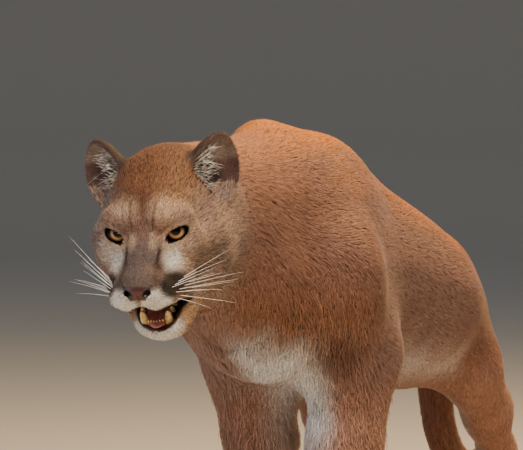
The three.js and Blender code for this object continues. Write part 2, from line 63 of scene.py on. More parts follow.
# How deep the coat lies over the skin.
DEPTH = {"face": 1.2, "head": 2.2, "neck": 6, "trunk": 5, "leg": 3, "paw": 1.4, "tail": 4.5, "ear": 0.8}
SKIN_CELL = {"body": 6.2, "head": 1.9}


# Fields of flesh.
def bar(a, ra, b, rb, wide=1.0):
    """A tapered bar of muscle from a to b; wide scales it along X."""
    a, b = np.array(a, float), np.array(b, float)
    along = b - a
    length2 = max(along @ along, 1e-9)

    def field(p):
        d = p - a
        t = np.clip(d @ along / length2, 0, 1)
        d = d - t[:, None] * along
        d[:, 0] /= wide
        return (np.linalg.norm(d, axis=1) - (ra + (rb - ra) * t)) * min(1, wide)

    return field


def ball(c, rx, ry=None, rz=None):
    """A rounded mass with its own half size along X, Y and Z."""
    size = np.array([rx, ry or rx, rz or rx], float)
    c = np.array(c, float)
    return lambda p: (np.linalg.norm((p - c) / size, axis=1) - 1) * size.min()


def turned_ball(c, size, turn, taper=0.0):
    """A rounded mass whose half sizes lie along the columns of turn; taper narrows its top."""
    c, size = np.array(c, float), np.array(size, float)

    def field(p):
        local = ((p - c) @ turn) / size
        local[:, 0] /= 1 - taper * np.clip(local[:, 2], -1, 1)
        return (np.linalg.norm(local, axis=1) - 1) * size.min()

    return field


def melt(a, b, k):
    """Both masses as one, the crease between them filled over k."""
    h = np.maximum(k - np.abs(a - b), 0) / k
    return np.minimum(a, b) - h * h * k / 4


def carve(a, b, k):
    """a with b cut out of it, its edge rounded over k."""
    return -melt(-a, b, k)


def melt_all(fields, k):
    def field(p):
        total = np.full(len(p), 1e3)
        for f in fields:
            total = melt(total, f(p), k)
        return total

    return field


def within(field, low, high):
    """The field where a point is inside a box, and far away elsewhere."""
    low, high = np.array(low, float), np.array(high, float)

    def near(p):
        out = np.full(len(p), 1e3)
        ok = np.all((p > low) & (p < high), axis=1)
        if ok.any():
            out[ok] = field(p[ok])
        return out

    return near


def soft_step(x, low, high):
    t = np.clip((x - low) / (high - low), 0, 1)
    return t * t * (3 - 2 * t)


def rotation(axis, degrees):
    return np.array(Matrix.Rotation(math.radians(degrees), 3, axis))


# The sections of the trunk: place along Y, side shift, height, half width and half depth.
TRUNK = np.array(
    [
        (-158, -14, 446, 66, 76),
        (-90, -8, 456, 108, 122),
        (20, 0, SHOULDER - 176, 118, 152),
        (150, 20, 440, 130, 150),
        (290, 36, BACK - 139, 147, 139),
        (420, 28, 386, 134, 134),
        (BODY, 8, 380, 114, 122),
        (612, 0, 388, 72, 80),
    ],
    float,
)
TRUNK_END = 55
RIDGE = 0.3


def trunk_sections(y):
    last = len(TRUNK) - 1
    i = np.clip(np.searchsorted(TRUNK[:, 0], y, side="right") - 1, 0, last - 1)
    before, after = np.maximum(i - 1, 0), np.minimum(i + 2, last)
    step = (TRUNK[i + 1, 0] - TRUNK[i, 0])[:, None]
    t = ((y - TRUNK[i, 0])[:, None]) / step
    m0 = (TRUNK[i + 1] - TRUNK[before]) / (TRUNK[i + 1, :1] - TRUNK[before, :1]) * step
    m1 = (TRUNK[after] - TRUNK[i]) / (TRUNK[after, :1] - TRUNK[i, :1]) * step
    return (
        (2 * t**3 - 3 * t**2 + 1) * TRUNK[i]
        + (t**3 - 2 * t**2 + t) * m0
        + (-2 * t**3 + 3 * t**2) * TRUNK[i + 1]
        + (t**3 - t**2) * m1
    )


SECTION_Y = np.arange(TRUNK[0, 0], TRUNK[-1, 0] + 1)
SECTIONS = trunk_sections(SECTION_Y)


def section(y):
    return [np.interp(y, SECTION_Y, SECTIONS[:, k]) for k in range(1, 5)]


def trunk(p):
    y = np.clip(p[:, 1], TRUNK[0, 0], TRUNK[-1, 0])
    shift, height, half_width, half_depth = section(y)
    up = (p[:, 2] - height) / half_depth
    width = half_width * (1 - RIDGE * np.clip(up, 0, 1) ** 1.5)
    out = np.sqrt(((p[:, 0] - shift) / width) ** 2 + up**2 + ((p[:, 1] - y) / TRUNK_END) ** 2)
    return (out - 1) * np.minimum(half_width, half_depth)


FORELEGS = {
    1: dict(blade=(42, 40, 560), shoulder=(88, -52, 448), elbow=(94, 38, 338), forearm=(77, 6, 215),
            wrist=(68, -12, 100), paw=(66, -52, 32)),
    -1: dict(blade=(-58, 34, 602), shoulder=(-92, -56, 440), elbow=(-92, 44, 336), forearm=(-57, 40, 215),
             wrist=(-54, 36, 100), paw=(-58, -2, 32)),
}
HINDLEGS = {
    1: dict(hip=(54, BODY + 12, 388), knee=(128, 466, 286), shin=(132, 548, 212), hock=(130, 620, 140),
            heel=(130, 602, 60), paw=(130, 546, 32)),
    -1: dict(hip=(-52, BODY + 8, 388), knee=(-98, 414, 282), shin=(-98, 480, 205), hock=(-94, 546, 136),
             heel=(-94, 524, 58), paw=(-94, 464, 32)),
}


def moved(p, x=0.0, y=0.0, z=0.0):
    return (p[0] + x, p[1] + y, p[2] + z)


def between(a, b, t):
    return tuple(np.array(a) * (1 - t) + np.array(b) * t)


def paw(at, size):
    toes = []
    for k in (-1.5, -0.5, 0.5, 1.5):
        reach = 32 - 6 * abs(k)
        toes.append(bar((at[0] + k * 17 * size, at[1], at[2] - 4), 12,
                        (at[0] + k * 20.5 * size, at[1] - reach, 15.5), 13.5))
    return ball(moved(at, 0, 8, -2), 36 * size, 42, 30), toes


def on_toes(leg, toes):
    """A leg with its toes, which keep a groove between them."""
    return melt_all([leg, *toes], 6)


def foreleg(s, leg):
    palm, toes = paw(leg["paw"], 1.08)
    flex = between(leg["blade"], leg["shoulder"], 0.35)
    limb = melt_all(
        [
            bar(leg["blade"], 46, leg["shoulder"], 64, 0.8),
            bar(leg["shoulder"], 62, leg["elbow"], 50, 0.86),
            bar(moved(flex, s * 8, 22), 52, leg["elbow"], 48, 0.8),
            bar(moved(leg["shoulder"], 0, -4, -30), 50, moved(leg["forearm"], 0, -6, 50), 46, 0.95),
            bar(leg["elbow"], 49, leg["forearm"], 49, 0.96),
            bar(leg["forearm"], 49, leg["wrist"], 35, 0.94),
            bar(leg["wrist"], 34, (leg["paw"][0], leg["paw"][1] + 20, 42), 33),
            palm,
        ],
        26,
    )
    return on_toes(limb, toes)


def hindleg(leg):
    palm, toes = paw(leg["paw"], 1)
    thigh = moved(between(leg["hip"], leg["hock"], 0.42), 0, 12, 6)
    limb = melt_all(
        [
            bar(leg["hip"], 84, leg["knee"], 58, 0.68),
            bar(moved(leg["hip"], 0, 26, -14), 74, thigh, 48, 0.66),
            bar(leg["knee"], 52, leg["shin"], 42, 0.84),
            bar(thigh, 38, leg["hock"], 21, 0.8),
            bar(leg["shin"], 40, leg["hock"], 27, 0.84),
            bar(leg["hock"], 27, leg["heel"], 26, 0.95),
            bar(leg["heel"], 26, (leg["paw"][0], leg["paw"][1] + 16, 38), 29),
            palm,
        ],
        26,
    )
    return on_toes(limb, toes)


# The head.
HEAD_TURN = rotation("Z", HEAD_YAW) @ rotation("X", HEAD_PITCH) @ rotation("Y", HEAD_ROLL)


def to_head(p):
    return ((p - np.array(EYE_PLACE)) @ HEAD_TURN) / HEAD_SIZE


def in_body(q):
    return (np.atleast_2d(np.array(q, float)) * HEAD_SIZE) @ HEAD_TURN.T + np.array(EYE_PLACE)


HINGE = np.array([0, 62, -42.0])
CORNER = (0, -8, -80)


def on_jaw(x, y, z):
    slide = JAW_SHIFT * min(1, max(0, (30 - y) / 70))
    return tuple(rotation("X", JAW_OPEN) @ (np.array([x + slide, y, z]) - HINGE) + HINGE)


def both(make):
    return [make(1), make(-1)]


skull = melt_all(
    [
        ball((0, 80, 6), 64, 78, 58),
        ball((0, 30, 13), 46, 46, 38),
        *both(lambda s: bar((s * 41, 15, -25), 23, (s * 51, 56, -22), 28)),
        *both(lambda s: ball((s * 47, 74, -46), 35, 44, 43)),
        *both(lambda s: bar((s * 15, -4, 16), 13, (s * 42, 9, 14), 13.5)),
        *both(lambda s: bar((s * 20, -4, -16), 14, (s * 46, 12, -14), 15)),
        bar((0, 2, -10), 24, (0, -56, -44), 16.5, 1.1),
        bar((0, -2, -38), 34, (0, -42, -53), 26, 1.12),
        *both(lambda s: ball((s * 19, -48, -61), 21, 25, 17.5)),
        *both(lambda s: ball((s * 31, -8, -56), 21, 30, 22)),
        bar((0, -58, -41), 14, (0, -68, -46), 10.5, 1.6),
    ],
    14,
)
jaw = melt_all(
    [
        *both(lambda s: bar(on_jaw(s * 38, 40, -60), 24, on_jaw(s * 20 + CHIN_SHIFT, -28, -79), 15)),
        bar(on_jaw(0, 20, -78), 26, on_jaw(CHIN_SHIFT, -32, -80), 17, 1.1),
        ball(on_jaw(CHIN_SHIFT, -43, -79), 22, 14, 14),
    ],
    14,
)


def turn_of(x, y, z):
    return rotation("Z", z) @ rotation("Y", y) @ rotation("X", x)


LID = 2.0
EYE_CENTRE = {1: (EYE_SPREAD, 5, 0), -1: (-EYE_SPREAD, 5, 0)}


def ahead(s):
    return np.array([math.sin(math.radians(GAZE)) * s, -math.cos(math.radians(GAZE)), 0])


def eye_opening(s):
    centre = np.array(EYE_CENTRE[s]) + ahead(s) * 14
    return turned_ball(centre, (13.6, 13, 6.0), turn_of(0, -LID_SLANT * s, GAZE * s))


palate = turned_ball((3, -18, -73), (23, 40, 9), turn_of(-8, 0, 0))
HOLLOW_X = JAW_SHIFT * 0.5 + CHIN_SHIFT
jaw_hollow = turned_ball((HOLLOW_X, -16, -85), (23.5, 40, 12), turn_of(20, 0, 0))


def mouth_wedge(q):
    """The gap between the lips, from corner to corner; the upper lip hangs lower under each pad."""
    y, z = q[:, 1] - CORNER[1], q[:, 2] - CORNER[2]
    front = soft_step(-y, 12, 34)
    z = z + 6.5 * front * np.exp(-(((np.abs(q[:, 0]) - 17) / 11) ** 2)) * (z > -30)
    upper = (z + y * 25 / 112) / math.hypot(1, 25 / 112)
    lower = (-z + y * 48 / 112) / math.hypot(1, 48 / 112)
    return np.maximum(upper, lower)


EAR_AT = {1: (63, 98, 44), -1: (-65, 98, 42)}
EAR_LEAN = {1: 24, -1: 31}
EAR_TURN = 30
EAR_TAPER = 0.24
EAR_SIZE = (34, 18, 44)
CUP_SIZE = (29.5, 20, 39.5)


def ear_frame(s):
    """Columns: across the ear, out of its back, and up to its tip."""
    return turn_of(-8, EAR_LEAN[s] * s, EAR_TURN * s)


def ear_fields(s):
    """The ear's whole mass, and the hollow of its cup."""
    turn = ear_frame(s)
    c = np.array(EAR_AT[s], float)
    face = -turn[:, 1]
    outer = turned_ball(c, EAR_SIZE, turn, EAR_TAPER)
    cup = turned_ball(c + face * 12 + turn[:, 2], CUP_SIZE, turn, EAR_TAPER)
    return outer, cup


EARS = {s: ear_fields(s) for s in (1, -1)}


def nostril(s):
    """A comma: a round hole, and the slit that runs out and down from it."""
    bend = (s * 12, -77, -46.5)
    return bar((s * 7.5, -81, -49), 1.7, bend, 2.5), bar(bend, 2.0, (s * 17, -70, -50.5), 1.0)


NOSTRILS = [*nostril(1), *nostril(-1)]
PHILTRUM = bar((0, -79, -52), 1.8, (0, -73, -68), 1.6)


def head_flesh(q):
    return melt(skull(q), jaw(q), 8)


def head_finish(whole, q):
    """The head's sockets, lids, mouth, nostrils and ears, cut in the whole body's field."""
    f = whole
    for s in (1, -1):
        f = melt(f, ball(EYE_CENTRE[s], EYE_RADIUS + LID)(q), 5)
    f = carve(f, mouth_wedge(q), 5)
    f = carve(f, palate(q), 4)
    f = carve(f, jaw_hollow(q), 4)
    for s in (1, -1):
        f = carve(f, ball(EYE_CENTRE[s], EYE_RADIUS + 0.25)(q), 0.8)
        f = carve(f, eye_opening(s)(q), 2.0)
        outer, cup = EARS[s]
        f = melt(f, outer(q), 9)
        f = carve(f, cup(q), 3.2)
    for hole in NOSTRILS:
        f = carve(f, hole(q), 1.6)
    return carve(f, PHILTRUM(q), 2.4)


neck = melt_all(
    [
        bar(in_body((8, 112, -10))[0], 84, (-20, -70, 526), 108, 0.94),
        bar(in_body((4, 112, -48))[0], 64, (-14, -110, 440), 98, 0.94),
    ],
    40,
)

# The tail.
TAIL = np.array(
    [(0, 618, 446), (0, 684, 404), (-6, 732, 322), (-10, 760, 232), (-8, 794, 150), (0, 852, 98),
     (12, 924, 84), (22, 988, 104)], float)
TAIL_RADII = [40, 33, 30, 28, 27, 26, 25, 14]
TAIL_STEPS = 240


def tail_curve():
    """Evenly spaced points along a centripetal curve through the tail's places."""
    rows = np.vstack([2 * TAIL[0] - TAIL[1], TAIL, 2 * TAIL[-1] - TAIL[-2]])
    points = []
    for i in range(1, len(rows) - 2):
        p0, p1, p2, p3 = rows[i - 1 : i + 3]
        d0, d1, d2 = (np.linalg.norm(b - a) ** 0.5 for a, b in ((p0, p1), (p1, p2), (p2, p3)))
        m1 = ((p1 - p0) / d0 - (p2 - p0) / (d0 + d1) + (p2 - p1) / d1) * d1
        m2 = ((p2 - p1) / d1 - (p3 - p1) / (d1 + d2) + (p3 - p2) / d2) * d1
        for t in np.linspace(0, 1, 60, endpoint=False):
            square = (-3 * p1 + 3 * p2 - 2 * m1 - m2) * t**2
            cube = (2 * p1 - 2 * p2 + m1 + m2) * t**3
            points.append(p1 + m1 * t + square + cube)
    points = np.array([*points, TAIL[-1]])
    run = np.concatenate([[0], np.cumsum(np.linalg.norm(np.diff(points, axis=0), axis=1))])
    even = np.linspace(0, run[-1], TAIL_STEPS + 1)
    return np.stack([np.interp(even, run, points[:, k]) for k in range(3)], 1)


TAIL_LINE = tail_curve()
TAIL_SHARE = np.linspace(0, 1, len(TAIL_LINE))
TAIL_SIZE = np.interp(TAIL_SHARE * (len(TAIL_RADII) - 1), range(len(TAIL_RADII)), TAIL_RADII)


def tail_nearest(p):
    """Index of the nearest point of the tail's line, and its distance."""
    best = np.full(len(p), 1e9)
    index = np.zeros(len(p), int)
    for i in range(0, len(TAIL_LINE), 4):
        d = ((p - TAIL_LINE[i]) ** 2).sum(1)
        closer = d < best
        best[closer] = d[closer]
        index[closer] = i
    return index, np.sqrt(best)


def tail(p):
    total = np.full(len(p), 1e3)
    for i in range(0, len(TAIL_LINE) - 1, 8):
        j = min(i + 8, len(TAIL_LINE) - 1)
        total = np.minimum(total, bar(TAIL_LINE[i], TAIL_SIZE[i], TAIL_LINE[j], TAIL_SIZE[j])(p))
    return total


tail_root = bar(TAIL_LINE[0], 46, TAIL_LINE[22], 34)
tail_near = within(tail, (-90, 560, 20), (110, 1100, 540))
tail_root_near = within(tail_root, (-160, 480, 300), (160, 800, 620))

withers = ball((-6, 60, 545), 84, 130, 82)
brisket = bar((-8, -84, 382), 60, (0, 70, 346), 62)


def leg_space(s, past_middle, outer, front, back, top):
    """Corners of the space that holds one leg, from 60 mm under the floor."""
    left, right = sorted((-s * past_middle, s * outer))
    return (left, front, -60), (right, back, top)


limbs = [
    *both(lambda s: within(foreleg(s, FORELEGS[s]), *leg_space(s, 40, 260, -230, 230, 720))),
    *both(lambda s: within(hindleg(HINDLEGS[s]), *leg_space(s, 60, 280, 240, 790, 620))),
]


def flesh(p):
    """The whole animal without the head's finish."""
    middle = melt(melt(trunk(p), withers(p), 50), brisket(p), 50)
    middle = melt(middle, neck(p), 70)
    middle = melt(middle, tail_root_near(p), 40)
    whole = middle
    for limb in limbs:
        whole = np.minimum(whole, melt(middle, limb(p), 46))
    whole = melt(whole, tail_near(p), 10)
    return whole


def body(p):
    whole = flesh(p)
    near = p[:, 1] < -180
    if near.any():
        whole[near] = melt(whole[near], head_flesh(to_head(p[near])) * HEAD_SIZE, 26)
    return np.maximum(whole, -p[:, 2])


def body_with_face(p):
    whole = body(p)
    q = to_head(p)
    return head_finish(whole / HEAD_SIZE, q) * HEAD_SIZE


# Meshing a field.
BATCH = 400000  # points worked out at a time


def sampled(field, low, high, step, block=4):
    """Field values on a grid, worked out finely only near the surface."""
    low, high = np.array(low, float), np.array(high, float)
    blocks = np.ceil((high - low) / (step * block)).astype(int)
    n = blocks * block + 1
    axes = [low[k] + step * block * np.arange(blocks[k] + 1) for k in range(3)]
    grid = np.stack(np.meshgrid(*axes, indexing="ij"), -1).reshape(-1, 3)
    rough = field(grid).reshape(blocks + 1)
    near = np.abs(rough) < step * block * 2.4
    spread = near.copy()
    for axis in range(3):
        for way in (1, -1):
            spread |= np.roll(near, way, axis)
        near = spread.copy()
    half = block // 2

    def spread_out(coarse):
        """The rough grid's values, each repeated over its part of the fine grid."""
        out = coarse.repeat(block, 0).repeat(block, 1).repeat(block, 2)
        out = out[half : half + n[0], half : half + n[1], half : half + n[2]]
        return np.pad(out, [(0, n[k] - out.shape[k]) for k in range(3)], mode="edge")

    values = spread_out(rough).copy()
    at = np.argwhere(spread_out(near))
    for start in range(0, len(at), BATCH):
        part = at[start : start + BATCH]
        values[tuple(part.T)] = field(low + part * step)
    return values


def net(values, low, step):
    """One vertex in each crossed cell, one four-sided face for each crossed edge."""
    n = np.array(values.shape)
    cells, places, faces = [], [], []
    for axis in range(3):
        first, second = [slice(None)] * 3, [slice(None)] * 3
        first[axis], second[axis] = slice(None, -1), slice(1, None)
        v0, v1 = values[tuple(first)], values[tuple(second)]
        edge = np.argwhere((v0 < 0) != (v1 < 0))
        u, w = (axis + 1) % 3, (axis + 2) % 3
        edge = edge[(edge[:, u] > 0) & (edge[:, w] > 0) & (edge[:, u] < n[u] - 1) & (edge[:, w] < n[w] - 1)]
        a, b = v0[tuple(edge.T)], v1[tuple(edge.T)]
        place = edge.astype(float)
        place[:, axis] += a / (a - b)
        corners = []
        for du, dw in ((0, 0), (-1, 0), (-1, -1), (0, -1)):
            c = edge.copy()
            c[:, u] += du
            c[:, w] += dw
            corners.append(np.ravel_multi_index(c.T, n))
            cells.append(corners[-1])
            places.append(place)
        quad = np.stack(corners, 1)
        quad[a >= 0] = quad[a >= 0][:, ::-1]
        faces.append(quad)
    cells = np.concatenate(cells)
    places = np.concatenate(places)
    ids, inverse = np.unique(cells, return_inverse=True)
    count = np.bincount(inverse)
    points = np.stack([np.bincount(inverse, places[:, k]) / count for k in range(3)], 1)
    faces = np.searchsorted(ids, np.concatenate(faces))
    return np.array(low, float) + points * step, faces


def slope(field, p, h=0.4):
    g = np.zeros_like(p)
    for k in range(3):
        d = np.zeros(3)
        d[k] = h
        g[:, k] = (field(p + d) - field(p - d)) / (2 * h)
    return g


def settle(field, p, step, turns=3):
    """Draws points onto the surface along the slope, and gives the surface's normals."""
    start = p.copy()
    for _ in range(turns):
        g = slope(field, p)
        p = p - g * (field(p) / np.maximum((g * g).sum(1), 0.05) * 0.9)[:, None]
        off = p - start
        far = np.linalg.norm(off, axis=1)
        p = start + off * np.minimum(1, step * 0.5 / np.maximum(far, 1e-9))[:, None]
    g = slope(field, p)
    return p, g / np.maximum(np.linalg.norm(g, axis=1), 1e-9)[:, None]


# The head's fine skin and the body's coarser one meet on a plane behind the ears, and the
# body's runs on a little way under the head's.
SEAM_AT = in_body((0, 124, 0))[0]
SEAM_WAY = HEAD_TURN @ np.array([0, -1, 0.12])
SEAM_WAY /= np.linalg.norm(SEAM_WAY)


def past_seam(p):
    return (p - SEAM_AT) @ SEAM_WAY


LAP = 24  # each skin runs on this far under the other


def head_part(p):
    beyond = past_seam(p)
    return np.maximum(body_with_face(p) + 1.6 * soft_step(-beyond, 0, 9), -beyond - LAP)


def body_part(p):
    beyond = past_seam(p)
    return np.maximum(body(p) + 1.6 * soft_step(beyond, 0, 9), beyond - LAP)


# Depth of the coat.
def regions(p):
    """Soft weights of the places on the body that the coat's depth and lie depend on."""
    q = to_head(p)
    head = soft_step(past_seam(p), -40, 30)
    face = head * soft_step(-q[:, 1], -60, 10)
    paws = soft_step(-p[:, 2], -95, -45)
    legs = soft_step(-p[:, 2], -340, -250) * (p[:, 1] < 700) * (1 - paws)
    index, gap = tail_nearest(p)
    on_tail = soft_step(-gap, -60, -44) * soft_step(p[:, 1], 640, 690)
    ear = np.zeros(len(p))
    for s in (1, -1):
        ear = np.maximum(ear, soft_step(-EARS[s][0](q), -6, 0) * (q[:, 2] > 26) * (q[:, 1] > 40))
    ear *= head
    return dict(q=q, head=head, face=face, paws=paws, legs=legs, tail=on_tail, ear=ear, tail_index=index)


def coat_depth(p, r):
    d = np.full(len(p), float(DEPTH["trunk"]))
    d = d + (DEPTH["neck"] - d) * soft_step(-p[:, 1], 60, 160)
    d = d + (DEPTH["leg"] - d) * r["legs"]
    d = d + (DEPTH["tail"] - d) * r["tail"]
    d = d + (DEPTH["paw"] - d) * r["paws"] * (1 - r["tail"])
    d = d + (DEPTH["head"] - d) * r["head"]
    d = d + (DEPTH["face"] - d) * r["face"]
    d = d + (DEPTH["ear"] - d) * r["ear"]
    q = r["q"]
    bare = mouth_inside(q) * r["head"]
    d = d * (1 - 0.9 * bare)
    sole = soft_step(-p[:, 2], -8, -1) * (1 - r["tail"])
    return d * (1 - 0.9 * sole)


def mouth_inside(q):
    """One inside the lips, nought outside."""
    opening = np.minimum(np.minimum(mouth_wedge(q), palate(q)), jaw_hollow(q))
    return soft_step(-opening, -2.2, -0.4) * soft_step(-np.abs(q[:, 0]), -60, -50) * (q[:, 1] < 34)


# Colours of the coat.
def linear(hex_colour):
    """An sRGB hex value as linear numbers."""
    value = np.array([int(hex_colour[i : i + 2], 16) / 255 for i in (1, 3, 5)])
    return np.where(value <= 0.04045, value / 12.92, ((value + 0.055) / 1.055) ** 2.4)


COAT = {
    # back: the coat's own orange-tawny, brightened with painted sunlight where the coat faces up; side: the
    # coat's tawny, greyed with painted bluish shade.
    "back": "#b46d28",
    "side": "#86665c",
    # Painted shade of the hindquarters: darker and redder than the side.
    "flank_painted_shade": "#764734",
    "chest": "#dadadc",
    "throat": "#a88560",
    "gold": "#8f5b2c",
    "leg": "#a67a66",
    "neck": "#8f6450",
    "crown": "#5e3a25",
    # Dark markings of the coat, also laid as painted shade in the furrows of the brow.
    "stripe_and_crease_shade": "#4c2c1b",
    "cheek": "#8d7466",
    "brow": "#c5a68a",
    # The muzzle's own grey-brown, darkened with painted shade of the nose bridge.
    "muzzle_and_painted_shade": "#66564f",
    "white": "#f3ebdf",
    "black": "#0c0908",
    "ear_back": "#332a28",
    "ear_inside": "#5e4541",
    "rim": "#cdb9a4",
    "nose": "#5c2a23",
    # Black of the lips and the philtrum groove, also laid as painted shade inside the mouth and the nostrils.
    "lip": "#120c0b",
    "gum": "#6b2d2a",
    "pad": "#2c2320",
    "tail_tip": "#1f1815",
}
COAT = {name: linear(value) for name, value in COAT.items()}


def patch(q, centre, size, soft=0.35):
    """A soft-edged spot: one inside, nought outside."""
    d = np.linalg.norm((q - np.array(centre, float)) / np.array(size, float), axis=1)
    return soft_step(-d, -1 - soft, -1 + soft)


def nose_leather(q):
    """One on the bare pad of the nose, which is wide above and narrow over the lip."""
    wide = 14.5 + (q[:, 2] + 46) * 0.5 - np.abs(q[:, 0])
    over_lip = soft_step(wide, -0.6, 0.8) * soft_step(q[:, 2], -56.5, -55)
    return over_lip * soft_step(-q[:, 2], 38, 39.5) * (q[:, 1] < -64)


def streak(q, a, b, radius, soft=1.0):
    """A soft-edged line from a to b: one inside, nought outside."""
    d = bar(a, radius, b, radius)(q)
    return soft_step(-d, -soft, soft)


def ripple(p, size, seed=0.0):
    """A slow unevenness between -1 and 1, size in millimetres."""
    a, b, c = (p[:, k] / size for k in range(3))
    return (
        np.sin(a * 2.1 + 1.7 * np.sin(b * 1.3 + seed)) * np.sin(b * 1.9 + 1.3 * np.sin(c * 1.7 + seed))
        + np.sin(c * 2.3 + 1.1 * np.sin(a * 1.9 - seed))
    ) / 2


def markings(p, normal, r):
    """The coat's colour at points of the body: used by the skin and by every tuft."""
    q = r["q"]
    n_up = normal[:, 2]
    colour = np.tile(COAT["side"], (len(p), 1))

    def lay(name, amount):
        colour[:] += (COAT[name] - colour) * np.clip(amount, 0, 1)[:, None]

    wave = ripple(p, 38) * 0.12
    # Painted shade: the coat grows darker and redder from the ribs back over the loin and rump.
    lay("flank_painted_shade", soft_step(p[:, 1], 200, 420) * 0.6)
    # Painted sunlight: wherever the coat faces up it turns a brighter orange.
    lay("back", soft_step(n_up + wave, 0.4, 0.98))
    lay("neck", soft_step(-p[:, 1], 0, 160) * 0.7)
    lay("leg", np.maximum(r["legs"], r["paws"] * (1 - r["tail"])) * 0.9)
    front = soft_step(-p[:, 1], -120, 60)
    low = soft_step(-(n_up + wave), 0.4, 0.95) * (1 - r["legs"]) * (p[:, 2] > 120)
    low *= 1 - 0.8 * soft_step(-p[:, 1], -60, 60)
    lay("chest", low * 0.7 * (1 - r["tail"]))
    band = np.exp(-(((p[:, 2] - 398) / 52) ** 2)) * soft_step(-p[:, 1], -30, 60)
    lay("gold", band * 0.34)
    breast = np.exp(-(((p[:, 0] - 28) / 46) ** 4)) * soft_step(-p[:, 2] + wave * 120, -400, -335) * front
    lay("chest", breast * soft_step(-normal[:, 1], -0.1, 0.5) * soft_step(p[:, 2], 195, 260))
    inner = soft_step(-np.sign(p[:, 0]) * normal[:, 0], 0.2, 0.8) * soft_step(-p[:, 2], -340, -270)
    lay("chest", inner * 0.22)
    lay("stripe_and_crease_shade", patch(p, (94, -84, 345), (26, 46, 20), 0.8) * 0.6)
    lay("tail_tip", r["tail"] * soft_step(r["tail_index"] / TAIL_STEPS, 0.84, 0.93))
    lay("pad", soft_step(-p[:, 2], -7, -2) * soft_step(-n_up, 0.2, 0.8) * (1 - r["head"]))

    # The head.
    h = r["head"]
    side = np.abs(q[:, 0])
    m = q.copy()
    m[:, 0] = side
    seen_ahead = m * np.array([1.0, 0.0, 1.0])
    front_face = h * (q[:, 1] < 14)
    grain = ripple(p, 9, 2.0)
    lay("crown", h * soft_step(q[:, 2] + grain * 4, 6, 44))
    lay("cheek", h * soft_step(side, 30, 54) * soft_step(-q[:, 2], -50, -16))
    lay("throat", h * soft_step(-q[:, 2], 66, 98) * soft_step(-q[:, 1], -100, -20) * 0.9)
    lay("brow", h * patch(m, (24, -6, 27), (17, 26, 14), 0.8) * 0.7)
    lay("stripe_and_crease_shade", h * streak(m, (0, -20, 26), (0, 40, 66), 3.5, 5.0) * 0.6)
    lay("stripe_and_crease_shade", h * streak(m, (20, -4, 42), (30, 30, 62), 2.5, 5.0) * 0.4)
    # Painted shade over the muzzle's own colour: the front of the muzzle, the bridge of the nose and a little
    # between the eyes are darkened.
    lay("muzzle_and_painted_shade", h * soft_step(-q[:, 1], 12, 34) * soft_step(q[:, 2], -62, -40))
    lay("muzzle_and_painted_shade", h * patch(m, (0, -22, -2), (12, 18, 24), 0.6) * 0.2)
    lay("stripe_and_crease_shade", h * streak(m, (17, -40, -26), (20, -62, -42), 3.0, 4.0) * 0.55)
    lay("brow", h * patch(m, (12, -24, -4), (4.5, 10, 11), 0.8) * 0.6)
    lay("brow", h * patch(m, (34, -14, -28), (18, 22, 20), 0.8) * 0.7)
    lay("white", h * patch(m, (31, -18, -27), (10, 18, 13), 0.7) * 0.8)
    lay("white", h * patch(q, (-45, -4, -22), (15, 22, 14), 0.8) * 0.5)
    lay("brow", h * patch(m, (43, -4, -13), (16, 18, 8), 0.8) * 0.4)
    lay("white", h * patch(m, (19, -68, -61), (18.5, 25, 16.5), 0.25))
    lay("white", h * patch(m, (24, -50, -73), (20, 24, 9), 0.35))
    lay("black", h * patch(q, (37, -50, -47), (17, 28, 13), 0.3) * 0.95)
    lay("black", h * patch(q, (-41, -44, -47), (13, 25, 10), 0.35) * 0.9)
    lay("stripe_and_crease_shade", h * patch(m, (46, -24, -54), (13, 18, 12), 0.7) * 0.5)
    for row in range(3):
        start, stop = (17, -71, -58 - row * 5.5), (38, -46, -60 - row * 5.0)
        lay("stripe_and_crease_shade", h * streak(m, start, stop, 0.5, 1.1) * 0.45)
    lay("black", front_face * streak(seen_ahead, (20.5, 0, -3), (18.5, 0, -21), 1.5, 1.7) * 0.92)
    lay("stripe_and_crease_shade", front_face * streak(seen_ahead, (18.5, 0, -21), (22, 0, -38), 2.0, 3.0) * 0.7)
    # Painted shade: dark lines in the furrows of the frowning brow, between and above the eyes.
    lay("stripe_and_crease_shade", front_face * streak(seen_ahead, (12, 0, 8), (15, 0, 38), 1.0, 2.4) * 0.9)
    lay("stripe_and_crease_shade", front_face * streak(seen_ahead, (22, 0, 18), (25, 0, 36), 0.6, 2.2) * 0.6)
    for s in (1, -1):
        rim = eye_opening(s)(q)
        close = (q[:, 0] * s > 0) * h
        lay("brow", close * soft_step(-rim, -8, -4) * 0.45)
        lay("black", close * soft_step(-rim, -2.0, -1.0))
        lay("black", close * streak(q, (s * 45, -3, 7), (s * 53, 6, 12), 1.6, 2.0) * 0.8)
    lay("white", h * patch(q, (CHIN_SHIFT + 2, -46, -106), (34, 36, 21), 0.3))
    seam = mouth_wedge(q)
    front_lips = h * (q[:, 1] < 2) * soft_step(-side, -50, -42)
    lay("lip", front_lips * soft_step(-np.abs(seam), -2.4, -0.8) * (seam > -2.6))
    lay("lip", front_lips * soft_step(-jaw_hollow(q), -2.6, -1.4))
    # Painted shade: the whole inside of the mouth takes the near-black of the lips.
    inside = mouth_inside(q) * h
    lay("lip", inside)
    lay("gum", inside * soft_step(-np.maximum(palate(q), -jaw_hollow(q)), -9, 3) * 0.15)
    lay("gum", inside * soft_step(-jaw_hollow(q), -3.5, -0.5) * soft_step(-q[:, 1], -10, 30) * 0.5)
    nose = nose_leather(q) * h
    lay("nose", nose)
    lay("black", nose * soft_step(side - (q[:, 2] + 46) * 0.5, 8, 12.5) * 0.95)
    lay("black", nose * soft_step(q[:, 2], -45, -39) * 0.7)
    lay("lip", h * streak(q, (0, -80, -54), (0, -74, -70), 1.4, 1.0))
